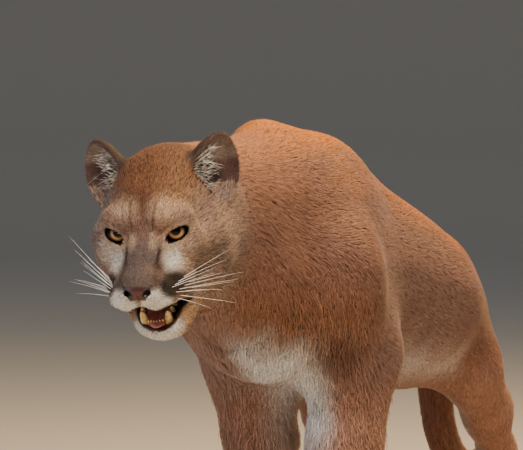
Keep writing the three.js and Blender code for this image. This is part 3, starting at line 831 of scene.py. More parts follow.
    # Painted shade: the hollows of the nostrils are darkened to the lips' near-black.
    for hole in NOSTRILS:
        lay("lip", h * soft_step(-hole(q), -1.4, -0.2))
    for s in (1, -1):
        _, cup = EARS[s]
        turn = ear_frame(s)
        on_ear = r["ear"] * (q[:, 0] * s > 0)
        hollow = soft_step(-cup(q), -2.6, -0.8)
        lay("ear_back", on_ear * (1 - hollow) * soft_step(q[:, 2], 40, 58) * 0.85)
        lay("ear_inside", on_ear * hollow)
        lay("ear_back", on_ear * hollow * soft_step(-np.abs(cup(q) + 1.2), -1.2, 0) * 0.5)
        depth = (q - np.array(EAR_AT[s])) @ turn
        # Painted shade: black deep in the lower hollow of each ear's cup.
        lay("black", on_ear * hollow * patch(depth, (s * 4, 6, -16), (13, 22, 18), 0.5) * 0.85)
        # Pale hair along the upper edge of each ear's cup, brightened with painted rim light.
        edge = soft_step(-np.abs(cup(q) + 0.4), -1.3, -0.3) * soft_step(q[:, 2], 46, 60)
        lay("rim", on_ear * edge * 0.35)
    return colour * (1 + 0.07 * ripple(p, 17, 1.0))[:, None]


# Meshes.
eye_left = np.array(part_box("eye_left"), float) * 1000
SHIFT = eye_left.mean(0) - in_body(EYE_CENTRE[1])[0]


def metres(p):
    return (np.asarray(p) + SHIFT) / 1000


def new_object(name, points, faces, colours=None, normals=None, tufts=None):
    """A mesh from arrays, with its colours as an attribute and every face smooth."""
    mesh = bpy.data.meshes.new(name)
    sides = faces.shape[1]
    mesh.vertices.add(len(points))
    mesh.vertices.foreach_set("co", metres(points).astype(np.float32).ravel())
    mesh.loops.add(faces.size)
    mesh.loops.foreach_set("vertex_index", faces.astype(np.int32).ravel())
    mesh.polygons.add(len(faces))
    mesh.polygons.foreach_set("loop_start", np.arange(0, faces.size, sides, dtype=np.int32))
    mesh.polygons.foreach_set("use_smooth", np.ones(len(faces), bool))
    mesh.update(calc_edges=True)
    if colours is not None:
        layer = mesh.color_attributes.new("coat", "FLOAT_COLOR", "POINT")
        rows = np.column_stack([colours, np.ones(len(colours))])
        layer.data.foreach_set("color", rows.astype(np.float32).ravel())
    if tufts is not None:
        uv = mesh.uv_layers.new(name="OFBake")
        uv.data.foreach_set("uv", tufts.astype(np.float32)[faces.ravel()].ravel())
    if normals is not None:
        mesh.normals_split_custom_set_from_vertices(normals.astype(np.float32))
    obj = bpy.data.objects.new(name, mesh)
    bpy.context.scene.collection.objects.link(obj)
    return obj


# Materials.
def add_node(tree, kind, links=None, out=None, **settings):
    """Adds a node: settings go to its properties or to its inputs by name or number."""
    node = tree.nodes.new(kind)
    for key, value in settings.items():
        if hasattr(node, key):
            setattr(node, key, value)
        else:
            node.inputs[key.replace("_", " ")].default_value = value
    for key, source in (links or {}).items():
        tree.links.new(source, node.inputs[key])
    return node if out is None else node.outputs[out]


def new_material(name):
    material = bpy.data.materials.new(name)
    material.use_nodes = True
    tree = material.node_tree
    shader = tree.nodes["Principled BSDF"]
    return material, tree, shader


def coat_material(name, roughness, sheen, grain, depth):
    """Cougar fur, short guard hairs grown over underfur: dry and matt, flecked, with a faint sheen."""
    material, tree, shader = new_material(name)
    place = add_node(tree, "ShaderNodeTexCoord", out="Object")
    colour = add_node(tree, "ShaderNodeAttribute", attribute_name="coat", out="Color")
    hairs = add_node(tree, "ShaderNodeTexNoise", {"Vector": place}, Scale=grain, Detail=3.0,
                     Roughness=0.65, out="Fac")
    shade = add_node(tree, "ShaderNodeMapRange", {"Value": hairs}, From_Min=0.3, From_Max=0.7,
                     To_Min=0.72, To_Max=1.28, out="Result")
    mixed = add_node(tree, "ShaderNodeVectorMath", {0: colour, 1: shade}, operation="MULTIPLY",
                     out="Vector")
    tree.links.new(mixed, shader.inputs["Base Color"])
    bump = add_node(tree, "ShaderNodeBump", {"Height": hairs}, Strength=0.6, Distance=depth,
                    out="Normal")
    tree.links.new(bump, shader.inputs["Normal"])
    shader.inputs["Roughness"].default_value = roughness
    shader.inputs["Specular IOR Level"].default_value = 0.25
    shader.inputs["Sheen Weight"].default_value = sheen
    shader.inputs["Sheen Roughness"].default_value = 0.45
    return material


# The skin shows between the tufts, with a grain of 1.1 mm, one clump of underfur. The grain
# along the tufts is 2 mm, drawn coarser than a hair of 0.1 mm so that it shows.
skin_fur = coat_material("skin_with_underfur", 0.85, 0.05, 900, 0.0006)
tuft_fur = coat_material("guard_hair", 0.66, 0.07, 500, 0.0002)


def wet_skin_material(name):
    """Bare skin of the nose, lips and gums, kept wet: pebbles 1.1 mm apart and a soft shine."""
    material, tree, shader = new_material(name)
    place = add_node(tree, "ShaderNodeTexCoord", out="Object")
    colour = add_node(tree, "ShaderNodeAttribute", attribute_name="coat", out="Color")
    pebbles = add_node(tree, "ShaderNodeTexVoronoi", {"Vector": place}, Scale=900.0, out="Distance")
    bump = add_node(tree, "ShaderNodeBump", {"Height": pebbles}, Strength=0.5, Distance=0.0003,
                    out="Normal")
    tree.links.new(colour, shader.inputs["Base Color"])
    tree.links.new(bump, shader.inputs["Normal"])
    shader.inputs["Roughness"].default_value = 0.42
    shader.inputs["Coat Weight"].default_value = 0.2
    shader.inputs["Coat Roughness"].default_value = 0.2
    return material


bare_skin = wet_skin_material("wet_bare_skin")

# The skin.
HEAD_CORNERS = [(-120, -95, -140), (120, 165, 110), (-120, 165, 110), (120, -95, -140)]
ROOM = 26  # left all round the corners, because the head is turned
LOWEST = 0.6  # no skin or tuft reaches lower than this
SKIN_SHADE = 0.8  # the skin is darker than the tufts over it
head_low = in_body(HEAD_CORNERS).min(0) - ROOM
head_high = in_body(HEAD_CORNERS).max(0) + ROOM
parts = []
for field, low, high, step in (
    (head_part, head_low, head_high, SKIN_CELL["head"]),
    (body_part, (-190, -460, -12), (210, 1030, 690), SKIN_CELL["body"]),
):
    points, faces = net(sampled(field, low, high, step), low, step)
    points, normals = settle(field, points, step)
    parts.append((points, faces, normals))

head_points = len(parts[0][0])
surface = np.vstack([parts[0][0], parts[1][0]])
surface_normals = np.vstack([parts[0][2], parts[1][2]])
surface_faces = np.vstack([parts[0][1], parts[1][1] + head_points])
skin_regions = regions(surface)
depth = coat_depth(surface, skin_regions)
skin_points = surface - surface_normals * depth[:, None]
skin_points[:, 2] = np.maximum(skin_points[:, 2], LOWEST)
skin_colours = markings(surface, surface_normals, skin_regions)
skin = new_object("skin", skin_points, surface_faces, skin_colours * SKIN_SHADE)
skin.data.materials.append(skin_fur)
skin.data.materials.append(bare_skin)


def bare(q):
    """Where no hair grows: nose, lips, mouth, eye rims and soles."""
    amount = nose_leather(q)
    amount = np.maximum(amount, mouth_inside(q))
    for s in (1, -1):
        amount = np.maximum(amount, soft_step(-eye_opening(s)(q), -2.2, -1.2) * (q[:, 0] * s > 0))
    return amount


skin_bare = bare(skin_regions["q"]) * skin_regions["head"]
skin_bare = np.maximum(skin_bare, soft_step(-surface[:, 2], -6, -2) * (surface_normals[:, 2] < -0.3))
face_bare = skin_bare[surface_faces].mean(1) > 0.5
skin.data.polygons.foreach_set("material_index", face_bare.astype(np.int32))
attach(skin, "root")
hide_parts("torso", "neck", "foreleg_left", "foreleg_right", "hindleg_left", "hindleg_right", "head",
            "ear_left", "ear_right", "tail_root", "tail_middle", "tail_tip")

# The lie of the coat.
def lie_of(p, normal, r):
    """The way the hairs point: back from the nose, down the sides, chest and legs."""
    q = r["q"]
    way = np.tile([0.0, 1.0, -0.18], (len(p), 1))
    sides = 1 - np.abs(normal[:, 2])
    way[:, 2] -= 0.5 * sides
    chest = soft_step(-p[:, 1], -60, 120) * soft_step(-p[:, 2], -520, -400)
    way += (np.array([0, 0.15, -1.0]) - way) * chest[:, None]
    way += (np.array([0, 0.12, -1.0]) - way) * r["legs"][:, None]
    way += (np.array([0, -0.5, -0.5]) - way) * r["paws"][:, None]
    along = np.gradient(TAIL_LINE, axis=0)[r["tail_index"]]
    along /= np.linalg.norm(along, axis=1)[:, None]
    way += (along - way) * r["tail"][:, None]
    from_nose = (q - np.array([0, -96, -40])) * np.array([1.0, 1.0, 0.9])
    from_nose /= np.linalg.norm(from_nose, axis=1)[:, None]
    from_nose[:, 1] += 0.35
    way += (from_nose @ HEAD_TURN.T - way) * r["head"][:, None]
    for s in (1, -1):
        _, cup = EARS[s]
        turn = ear_frame(s)
        on_ear = r["ear"] * (q[:, 0] * s > 0)
        hollow = soft_step(-cup(q), -2.6, -0.8)
        fanned = turn[:, 2] * 0.8 + turn[:, 0] * s * 0.8
        up = turn[:, 2] * (1 - hollow)[:, None] + fanned * hollow[:, None]
        way += (up @ HEAD_TURN.T - way) * on_ear[:, None]
    way -= normal * (way * normal).sum(1)[:, None]
    return way / np.maximum(np.linalg.norm(way, axis=1), 1e-6)[:, None]


def scattered(count, weight):
    """Random places on the skin: face, and weights of its corners."""
    a, b, c, d = (skin_points[surface_faces[:, k]] for k in range(4))
    area = np.linalg.norm(np.cross(c - a, d - b), axis=1) / 2 * weight
    pick = rng.choice(len(surface_faces), count, p=area / area.sum())
    u, v = rng.random(count), rng.random(count)
    corner = np.stack([(1 - u) * (1 - v), u * (1 - v), u * v, (1 - u) * v], 1)
    return pick, corner


def at_corners(values, pick, corner):
    """The values at the scattered places, mixed from each face's corners."""
    shares = corner[..., None] if values.ndim > 1 else corner
    return (values[surface_faces[pick]] * shares).sum(1)


DARK_TUFTS, PALE_TUFTS = 0.24, 0.12  # shares of the tufts
TUFT_PATCH = 0.0015  # half the width of a tuft's patch on the map
MAP_EDGE = 0.005  # bare edge of the map


def grow(name, weight, count, length, width, lift, unwrap,
         spread=0.2, tone=0.12, curl=0.0, fleck=0.3):
    """A piece of coat: each tuft is a thin closed blade, root in the skin, tip along the lie."""
    pick, corner = scattered(count, weight)
    root = at_corners(skin_points, pick, corner)
    normal = at_corners(surface_normals, pick, corner)
    normal /= np.maximum(np.linalg.norm(normal, axis=1), 1e-9)[:, None]
    deep = at_corners(depth, pick, corner)
    outside = root + normal * deep[:, None]
    r = regions(outside)
    lie = lie_of(outside, normal, r)
    across = np.cross(normal, lie)
    swing = rng.normal(0, spread, count)
    lie = lie * np.cos(swing)[:, None] + across * np.sin(swing)[:, None]
    across = np.cross(normal, lie)
    reach = (length(r, deep) * rng.uniform(0.7, 1.25, count))[:, None]
    girth = (width(r) * rng.uniform(0.75, 1.25, count))[:, None]
    rise = (lift(r) * deep * rng.uniform(0.6, 1.3, count))[:, None]
    bend = (curl * rng.normal(0, 1, count))[:, None]
    heel = root + lie * reach * 0.16 + normal * rise * 0.42
    tip = root + lie * reach + normal * rise + across * bend
    keel = heel + normal * girth * 0.3 - lie * girth * 0.5
    points = np.stack([heel - across * girth / 2, heel + across * girth / 2, keel, tip], 1)
    shape = np.array([(2, 1, 0), (0, 1, 3), (1, 2, 3), (2, 0, 3)])
    if curl:
        knee = root + lie * reach * 0.55 + normal * rise * 1.05 - across * bend * 0.5
        points[:, 3] = knee + normal * girth * 0.25
        extra = np.stack([knee - across * girth * 0.36, knee + across * girth * 0.36, tip], 1)
        points = np.concatenate([points, extra], 1)
        shape = np.array([(2, 1, 0), (5, 4, 0), (1, 5, 0), (3, 5, 1), (2, 3, 1), (4, 3, 2), (0, 4, 2),
                          (4, 5, 6), (5, 3, 6), (3, 4, 6)])
    sides = points.shape[1]
    points = points.reshape(-1, 3)
    cells = (np.arange(count)[:, None, None] * sides + shape).reshape(-1, 3)
    points[:, 2] = np.maximum(points[:, 2], LOWEST)
    colour = markings(outside, normal, r)
    dark = (rng.random(count) < DARK_TUFTS)[:, None] * fleck
    pale = (rng.random(count) < PALE_TUFTS)[:, None] * 0.25
    colour = colour * rng.normal(1, tone, count)[:, None] * (1 - dark + pale)
    shades = np.array([0.86, 0.86, 0.9, 1.1, 1.0, 1.0, 1.12])[:sides]
    colours = np.clip(colour[:, None, :] * shades[None, :, None], 0.002, 0.95).reshape(-1, 3)
    aside = np.array([-0.35, 0.35, 0, 0, -0.3, 0.3, 0])[None, :sides, None]
    onward = np.array([-0.1, -0.1, -0.1, 0.3, 0.1, 0.1, 0.3])[None, :sides, None]
    soft = normal[:, None, :] + across[:, None, :] * aside
    soft = soft + lie[:, None, :] * onward
    soft /= np.linalg.norm(soft, axis=2)[..., None]
    place = unwrap(root, normal, r)
    corners = np.array([(-1, -1), (-1, 1), (-1, 0), (1, 0), (0, -1), (0, 1), (1, 1)])[:sides] * TUFT_PATCH
    inside = place[:, None, :] * (1 - 2 * MAP_EDGE) + MAP_EDGE
    uv = np.clip(inside + corners, 0, 1).reshape(-1, 2)
    obj = new_object(name, points, cells, colours, soft.reshape(-1, 3), uv)
    obj.data.materials.append(tuft_fur)
    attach(obj, "root")


def around_trunk(p, normal, r):
    shift, height, _, _ = section(np.clip(p[:, 1], TRUNK[0, 0], TRUNK[-1, 0]))
    angle = np.arctan2(p[:, 0] - shift, p[:, 2] - height) / (2 * math.pi) + 0.5
    return np.stack([angle, (p[:, 1] + 480) / 1120], 1)


def around_leg(p, normal, r):
    legs = np.array([v["forearm"][:2] for v in FORELEGS.values()]
                    + [v["shin"][:2] for v in HINDLEGS.values()], float)
    which = np.argmin(((p[:, None, :2] - legs) ** 2).sum(2), 1)
    angle = np.arctan2(normal[:, 0], normal[:, 1]) / (2 * math.pi) + 0.5
    return np.stack([(angle + which) / 4, p[:, 2] / 460], 1)


def around_head(p, normal, r):
    q = r["q"] - np.array([0, 40, -20])
    angle = np.arctan2(q[:, 0], q[:, 2]) / (2 * math.pi) + 0.5
    height = np.arctan2(q[:, 1], np.hypot(q[:, 0], q[:, 2])) / math.pi + 0.5
    return np.stack([angle, height], 1)


def around_ear(p, normal, r):
    q = r["q"]
    s = np.where(q[:, 0] > 0, 1, -1)
    local = np.zeros_like(q)
    turned = np.zeros_like(q)
    for k in (1, -1):
        mine = s == k
        local[mine] = (q[mine] - np.array(EAR_AT[k])) @ ear_frame(k)
        turned[mine] = (normal[mine] @ HEAD_TURN) @ ear_frame(k)
    front = (turned[:, 1] < 0) * 0.25
    u = np.clip(local[:, 0] / 76 + 0.5, 0, 1) * 0.25 + front + (s > 0) * 0.5
    return np.stack([u, np.clip(local[:, 2] / 92 + 0.5, 0, 1)], 1)


def around_tail(p, normal, r):
    angle = np.arctan2(normal[:, 0], np.hypot(normal[:, 1], normal[:, 2]) * np.sign(normal[:, 2] + 1e-6))
    return np.stack([angle / (2 * math.pi) + 0.5, r["tail_index"] / TAIL_STEPS], 1)


COAT_LAP = 9  # the head's and the body's tufts overlap this far past the seam
centres = surface[surface_faces].mean(1)
face_normals = surface_normals[surface_faces].mean(1)
face_regions = regions(centres)
clothed = 1 - np.clip(skin_bare[surface_faces].mean(1) * 1.4, 0, 1)
clothed *= centres[:, 2] > 5
on_head_skin = np.arange(len(surface_faces)) < len(parts[0][1])
clothed[~on_head_skin & (past_seam(centres) > COAT_LAP)] = 0
clothed[on_head_skin & (past_seam(centres) < -COAT_LAP)] = 0
x, y, z = centres.T
ears_only = face_regions["ear"] > 0.5
tail_only = face_regions["tail"] > 0.5
head_only = (past_seam(centres) > -COAT_LAP) & ~ears_only & on_head_skin
legs_only = (z < 300) & ~tail_only & ~head_only & ((y < 190) | (y > 330)) & (np.abs(x) > 8)
trunk_only = ~(ears_only | tail_only | head_only | legs_only)


def body_length(r, deep):
    return 10.5 + 3 * soft_step(deep, 5, 6) - 3 * r["legs"] - 6 * r["paws"]


def head_length(r, deep):
    return 8.5 - 3.6 * r["face"] - 2.2 * soft_step(-r["q"][:, 1], 0, 60)


def even(value):
    return lambda r, *rest: value + 0 * r["head"]


def narrower(width, less, where):
    """A tuft's width, with less of it in one region."""
    return lambda r: width - less * r[where]


DENSITY = 1.0
for name, where, count in (
    ("coat_neck", trunk_only & (y < -60), 44000),
    ("coat_breast", trunk_only & (y >= -60) & (y < 90), 47000),
    ("coat_ribs", trunk_only & (y >= 90) & (y < 300), 42000),
    ("coat_loin", trunk_only & (y >= 300) & (y < 480), 36000),
    ("coat_rump", trunk_only & (y >= 480), 28000),
):
    grow(name, clothed * where, int(count * DENSITY), body_length, narrower(1.25, 0.2, "legs"),
         even(0.7), around_trunk, tone=0.15)
for name, where in (("coat_forelegs", legs_only & (y < 250)), ("coat_hindlegs", legs_only & (y > 250))):
    grow(name, clothed * where, int(34000 * DENSITY), body_length, narrower(1.15, 0.35, "paws"),
         even(0.8), around_leg, tone=0.14)
grow("coat_tail", clothed * tail_only, int(18000 * DENSITY), even(13), even(1.5), even(1.0),
     around_tail)
grow("coat_head", clothed * head_only, int(46000 * DENSITY), head_length, narrower(1.3, 0.4, "face"),
     even(0.9), around_head, tone=0.26, fleck=0.55)
grow("coat_ears", clothed * ears_only, int(12000 * DENSITY), even(5), even(0.7), even(1.0),
     around_ear, 0.3)

# Long pale hair hangs on the breast and between the forelegs.
breast = np.exp(-(((x - 20) / 58) ** 2)) * (y < 60) * (y > -190) * soft_step(-z, -440, -330) * (z > 205)
breast *= soft_step(-face_normals[:, 1] - face_normals[:, 2] * 0.6, -0.1, 0.5) + 0.6 * (z < 330)
grow("coat_breast_long", clothed * trunk_only * breast + clothed * legs_only * breast * 0.6,
     int(12000 * DENSITY), even(23), even(1.5), even(1.3), around_trunk, 0.22, curl=1.6)

# The eyes.
def eye_material(name, centre, gaze):
    """A wet eye: a dark round pupil, an amber iris with fine radial fibres and a dark rim."""
    material, tree, shader = new_material(name)
    place = add_node(tree, "ShaderNodeTexCoord", out="Object")
    from_centre = add_node(tree, "ShaderNodeVectorMath", {0: place}, operation="SUBTRACT")
    from_centre.inputs[1].default_value = centre
    radius = EYE_RADIUS * HEAD_SIZE / 1000
    along = add_node(tree, "ShaderNodeVectorMath", {0: from_centre.outputs["Vector"]},
                     operation="DOT_PRODUCT")
    along.inputs[1].default_value = gaze
    ratio = add_node(tree, "ShaderNodeMath", {0: along.outputs["Value"]}, operation="DIVIDE")
    ratio.inputs[1].default_value = radius
    fibres = add_node(tree, "ShaderNodeTexNoise", {"Vector": place}, Scale=900.0, Detail=2.0, out="Fac")
    wobble = add_node(tree, "ShaderNodeMath", {0: fibres}, operation="MULTIPLY_ADD")
    wobble.inputs[1].default_value = 0.02
    wobble.inputs[2].default_value = -0.01
    total = add_node(tree, "ShaderNodeMath", {0: ratio.outputs[0], 1: wobble.outputs[0]},
                     operation="ADD", out=0)
    rings = add_node(tree, "ShaderNodeValToRGB", {"Fac": total})
    ramp = rings.color_ramp
    stops = [(0.0, "#0c0807"), (0.725, "#0f0a08"), (0.745, "#3a2414"), (0.79, "#8a6038"), (0.87, "#bd936a"),
             (0.925, "#a87a4e"), (0.952, "#50331c"), (0.962, "#010101")]
    while len(ramp.elements) < len(stops):
        ramp.elements.new(0.5)
    for element, (at, colour) in zip(ramp.elements, stops):
        element.position = at
        element.color = (*linear(colour), 1)
    height = add_node(tree, "ShaderNodeSeparateXYZ", {0: from_centre.outputs["Vector"]}, out="Z")
    lid_shade = add_node(tree, "ShaderNodeMapRange", {"Value": height}, From_Min=-0.0035, From_Max=0.003,
                         To_Min=1.0, To_Max=0.05, out="Result")
    shaded = add_node(tree, "ShaderNodeVectorMath", {0: rings.outputs["Color"], 1: lid_shade},
                      operation="MULTIPLY")
    tree.links.new(shaded.outputs["Vector"], shader.inputs["Base Color"])
    shader.inputs["Roughness"].default_value = 0.12
    shader.inputs["Specular IOR Level"].default_value = 0.06
    shader.inputs["Coat Weight"].default_value = 0.3
    shader.inputs["Coat Roughness"].default_value = 0.02
    return material


LOOK = np.array([0.27, -0.96, 0.04])  # the animal looks ahead of it and to its left
for name, s in (("eye_left", 1), ("eye_right", -1)):
    rings, sides = 48, 64
    centre = in_body(EYE_CENTRE[s])[0]
    gaze = LOOK / np.linalg.norm(LOOK)
    side = np.cross([0, 0, 1.0], gaze)
    side /= np.linalg.norm(side)
    top = np.cross(gaze, side)
    theta = np.linspace(0, math.pi, rings + 1)[1:-1]
    phi = np.linspace(0, 2 * math.pi, sides, endpoint=False)
    radius = EYE_RADIUS * HEAD_SIZE
    bulge = 1 + 0.03 * np.exp(-((theta / 0.55) ** 4))
    circle = np.cos(phi)[:, None] * side + np.sin(phi)[:, None] * top
    points = [centre + gaze * radius * 1.03]
    for t, b in zip(theta, bulge):
        points.extend(centre + (gaze * math.cos(t) + circle * math.sin(t)) * radius * b)
    points.append(centre - gaze * radius)
    points = np.array(points)
    last = len(points) - 1
    tris = []
    for i in range(sides):
        j = (i + 1) % sides
        tris.append((0, 1 + i, 1 + j))
        for k in range(len(theta) - 1):
            a, b = 1 + k * sides + i, 1 + k * sides + j
            tris += [(a, a + sides, b), (b, a + sides, b + sides)]
        tris.append((last, last - sides + j, last - sides + i))
    eye = new_object(name + "_ball", points, np.array(tris))
    eye.data.materials.append(eye_material("wet_eye_" + name[4:], tuple(metres(centre)), tuple(gaze)))
    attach(eye, "root")
    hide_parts(name)

# Teeth, tongue.
def horn(path, radii, sides=14):
    """A closed tapered tube along a path, with a rounded tip."""
    path = np.array(path, float)
    way = np.gradient(path, axis=0)
    way /= np.linalg.norm(way, axis=1)[:, None]
    start = np.cross(way[0], [1.0, 0.2, 0.1])
    start /= np.linalg.norm(start)
    phi = np.linspace(0, 2 * math.pi, sides, endpoint=False)
    points = []
    for place, along, radius in zip(path, way, radii):
        side = start - along * (start @ along)
        side /= np.linalg.norm(side)
        other = np.cross(along, side)
        points.extend(place + (np.cos(phi)[:, None] * side + np.sin(phi)[:, None] * other) * radius)
    points += [path[0], path[-1] + way[-1] * radii[-1] * 0.6]
    n = len(path)
    tris = []
    for i in range(sides):
        j = (i + 1) % sides
        tris.append((n * sides, j, i))
        for k in range(n - 1):
            a, b = k * sides + i, k * sides + j
            tris += [(a, b, a + sides), (b, b + sides, a + sides)]
        tris.append((n * sides + 1, (n - 1) * sides + i, (n - 1) * sides + j))
    return np.array(points), np.array(tris)


def joined(pieces):
    points, faces, start = [], [], 0
    for p, f in pieces:
        points.append(p)
        faces.append(f + start)
        start += len(p)
    return np.vstack(points), np.vstack(faces)


def tooth(root, tip, radius, bend=(0, 1.2, 0)):
    t = np.linspace(0, 1, 9)
    root, tip = np.array(root, float), np.array(tip, float)
    path = root + (tip - root) * t[:, None] + np.array(bend) * (4 * t * (1 - t))[:, None]
    return horn(in_body(path), radius * HEAD_SIZE * np.sqrt(np.clip(1 - t**1.6, 0.02, 1)))


teeth = []
for s in (1, -1):
    teeth.append(tooth(on_jaw(s * 13, -41, -80), on_jaw(s * 15.5, -45, -55), 6.2, (0, 2, 0)))
    teeth.append(tooth((s * 17, -46, -62), (s * 18, -43, -76.5), 5.2, (0, -2, 0)))
    for k in (0.5, 1.5, 2.5):
        teeth.append(tooth(on_jaw(s * k * 3.3, -49 + k, -78), on_jaw(s * k * 3.4, -50 + k, -65), 1.9))
        teeth.append(tooth((s * k * 3.8, -60 + 1.6 * k, -60), (s * k * 3.9, -60 + 1.6 * k, -69.5), 2.0))
    for k in range(3):
        out, along = s * (17 + k * 2.4), -26 + k * 12
        teeth.append(tooth(on_jaw(out, along, -70), on_jaw(out, along - 1, -62 - k), 4.2))
tooth_points, tooth_faces = joined(teeth)


def tooth_material():
    """Worn enamel: ivory, stained yellow in uneven patches, with a wet gloss."""
    material, tree, shader = new_material("tooth_enamel")
    place = add_node(tree, "ShaderNodeTexCoord", out="Object")
    stain = add_node(tree, "ShaderNodeTexNoise", {"Vector": place}, Scale=260.0, Detail=3.0, out="Fac")
    ramp = add_node(tree, "ShaderNodeValToRGB", {"Fac": stain})
    ramp.color_ramp.elements[0].position = 0.3
    ramp.color_ramp.elements[0].color = (*linear("#a8752f"), 1)
    ramp.color_ramp.elements[1].position = 0.62
    ramp.color_ramp.elements[1].color = (*linear("#e2c184"), 1)
    tree.links.new(ramp.outputs["Color"], shader.inputs["Base Color"])
    shader.inputs["Roughness"].default_value = 0.25
    shader.inputs["Coat Weight"].default_value = 0.5
    return material


teeth_obj = new_object("teeth", tooth_points, tooth_faces)
teeth_obj.data.materials.append(tooth_material())
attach(teeth_obj, "root")


def tongue_field(p):
    q = to_head(p)
    turn = turn_of(20, 0, 0)
    f = turned_ball((HOLLOW_X, -14, -90), (15, 31.5, 6.2), turn)(q)
    local = (q - np.array([HOLLOW_X, -14, -90])) @ turn
    groove = np.sqrt(local[:, 0] ** 2 + (local[:, 2] - 8) ** 2) - 3.6
    return carve(f, groove, 3) * HEAD_SIZE


TONGUE_CELL = 1.6
tongue_low = in_body((-24, -60, -120)).min(0) - ROOM
tongue_high = in_body((32, 30, -70)).max(0) + ROOM
points, faces = net(sampled(tongue_field, tongue_low, tongue_high, TONGUE_CELL), tongue_low, TONGUE_CELL)
points, _ = settle(tongue_field, points, TONGUE_CELL)
tongue = new_object("tongue_flesh", points, faces)


def tongue_material():
    """A cat's tongue: wet, pink, covered with fine hooked papillae 1 mm apart."""
    material, tree, shader = new_material("wet_tongue")
    place = add_node(tree, "ShaderNodeTexCoord", out="Object")
    spines = add_node(tree, "ShaderNodeTexVoronoi", {"Vector": place}, Scale=1000.0, out="Distance")
    ramp = add_node(tree, "ShaderNodeValToRGB", {"Fac": spines})
    ramp.color_ramp.elements[0].color = (*linear("#c07a70"), 1)
    ramp.color_ramp.elements[1].color = (*linear("#8c3f3c"), 1)
    bump = add_node(tree, "ShaderNodeBump", {"Height": spines}, Strength=0.7, Distance=0.0005,
                    out="Normal")
    tree.links.new(ramp.outputs["Color"], shader.inputs["Base Color"])
    tree.links.new(bump, shader.inputs["Normal"])
    shader.inputs["Roughness"].default_value = 0.35
    shader.inputs["Coat Weight"].default_value = 0.3
    return material


tongue.data.materials.append(tongue_material())
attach(tongue, "root")
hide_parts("tongue")

# Whiskers and ear hair.
def whisker(root, way, length, droop, radius=0.42, steps=12, sides=5):
    t = np.linspace(0, 1, steps)
    root, way = np.array(root, float), np.array(way, float)
    way /= np.linalg.norm(way)
    path = root + way * (t * length)[:, None] + np.array([0, 0, -1.0]) * (droop * length * t**2)[:, None]
    return horn(in_body(path), radius * (1 - 0.88 * t), sides)


whiskers = []
for s in (1, -1):
    for row in range(3):
        for k in range(1, 5):
            root = (s * (29 + k * 2.1 - abs(row - 1)), -60 + k * 6.5 + row * 1.5, -51 - row * 5.2 + k * 0.5)
            rise = (0.62 if s < 0 else 0.3) - 0.26 * row + rng.uniform(-0.1, 0.1)
            way = (s * 0.85, 0.05 + 0.2 * k, rise)
            length = rng.uniform(58, 96) * (0.7 + 0.08 * k)
            whiskers.append(whisker(root, way, length, rng.uniform(-0.02, 0.14), 0.4))
    for k in range(3):
        way = (s * (0.3 + 0.12 * k), -0.5, 0.85)
        whiskers.append(whisker((s * (24 + 4 * k), -9 + 3 * k, 24), way, rng.uniform(18, 26), -0.12, 0.15))
whisker_points, whisker_faces = joined(whiskers)


EAR_HAIRS = 150  # in each ear


def long_ear_hair():
    """Long white hairs that fan from the inner edge of each ear across its cup."""
    hairs = []
    for s in (1, -1):
        turn, centre = ear_frame(s), np.array(EAR_AT[s], float)
        for _ in range(EAR_HAIRS):
            up, inward = rng.uniform(-30, 24), rng.uniform(-0.98, -0.45)
            wide = CUP_SIZE[0] * (1 - EAR_TAPER * up / EAR_SIZE[2]) * math.sqrt(max(0.05, 1 - (up / 40) ** 2))
            start = centre + turn @ np.array([s * inward * wide, -4 + 8 * abs(inward), up])
            fan = (s * rng.uniform(0.4, 1.0), rng.uniform(-0.7, -0.2), rng.uniform(-0.2, 1.0))
            way = turn @ np.array(fan)
            length = rng.uniform(12, 32) * (1.1 if up < 5 else 0.7)
            hairs.append(whisker(start, way, length, rng.uniform(-0.3, 0.35), rng.uniform(0.3, 0.62), 5, 3))
    return joined(hairs)


def keratin_material(name, dark, pale, scale):
    """Long stiff hair: pale keratin, uneven along its length, with a hard glint."""
    material, tree, shader = new_material(name)
    place = add_node(tree, "ShaderNodeTexCoord", out="Object")
    tone = add_node(tree, "ShaderNodeTexNoise", {"Vector": place}, Scale=scale, out="Fac")
    ramp = add_node(tree, "ShaderNodeValToRGB", {"Fac": tone})
    ramp.color_ramp.elements[0].position = 0.36
    ramp.color_ramp.elements[0].color = (*linear(dark), 1)
    ramp.color_ramp.elements[1].position = 0.6
    ramp.color_ramp.elements[1].color = (*linear(pale), 1)
    tree.links.new(ramp.outputs["Color"], shader.inputs["Base Color"])
    shader.inputs["Roughness"].default_value = 0.3
    return material


# Whiskers are white throughout; the down in the ears is mixed with grey-brown hairs.
whisker_keratin = keratin_material("whisker_keratin", "#e9e2d6", "#ffffff", 30.0)
ear_down = keratin_material("ear_down", "#75655c", "#efe8de", 160.0)
for name, (points, faces), slot, keratin in (
    ("whiskers", (whisker_points, whisker_faces), "fur_head", whisker_keratin),
    ("ear_hair", long_ear_hair(), "fur_ear", ear_down),
):
    hair = new_object(name, points, faces)
    hair.data.materials.append(keratin)
    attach(hair, "root")

# Floor, lights, camera.
def towards(azimuth, elevation):
    """The way from the animal to a place round it, from angles in radians."""
    level = math.cos(elevation)
    return Vector((math.sin(azimuth) * level, -math.cos(azimuth) * level, math.sin(elevation)))


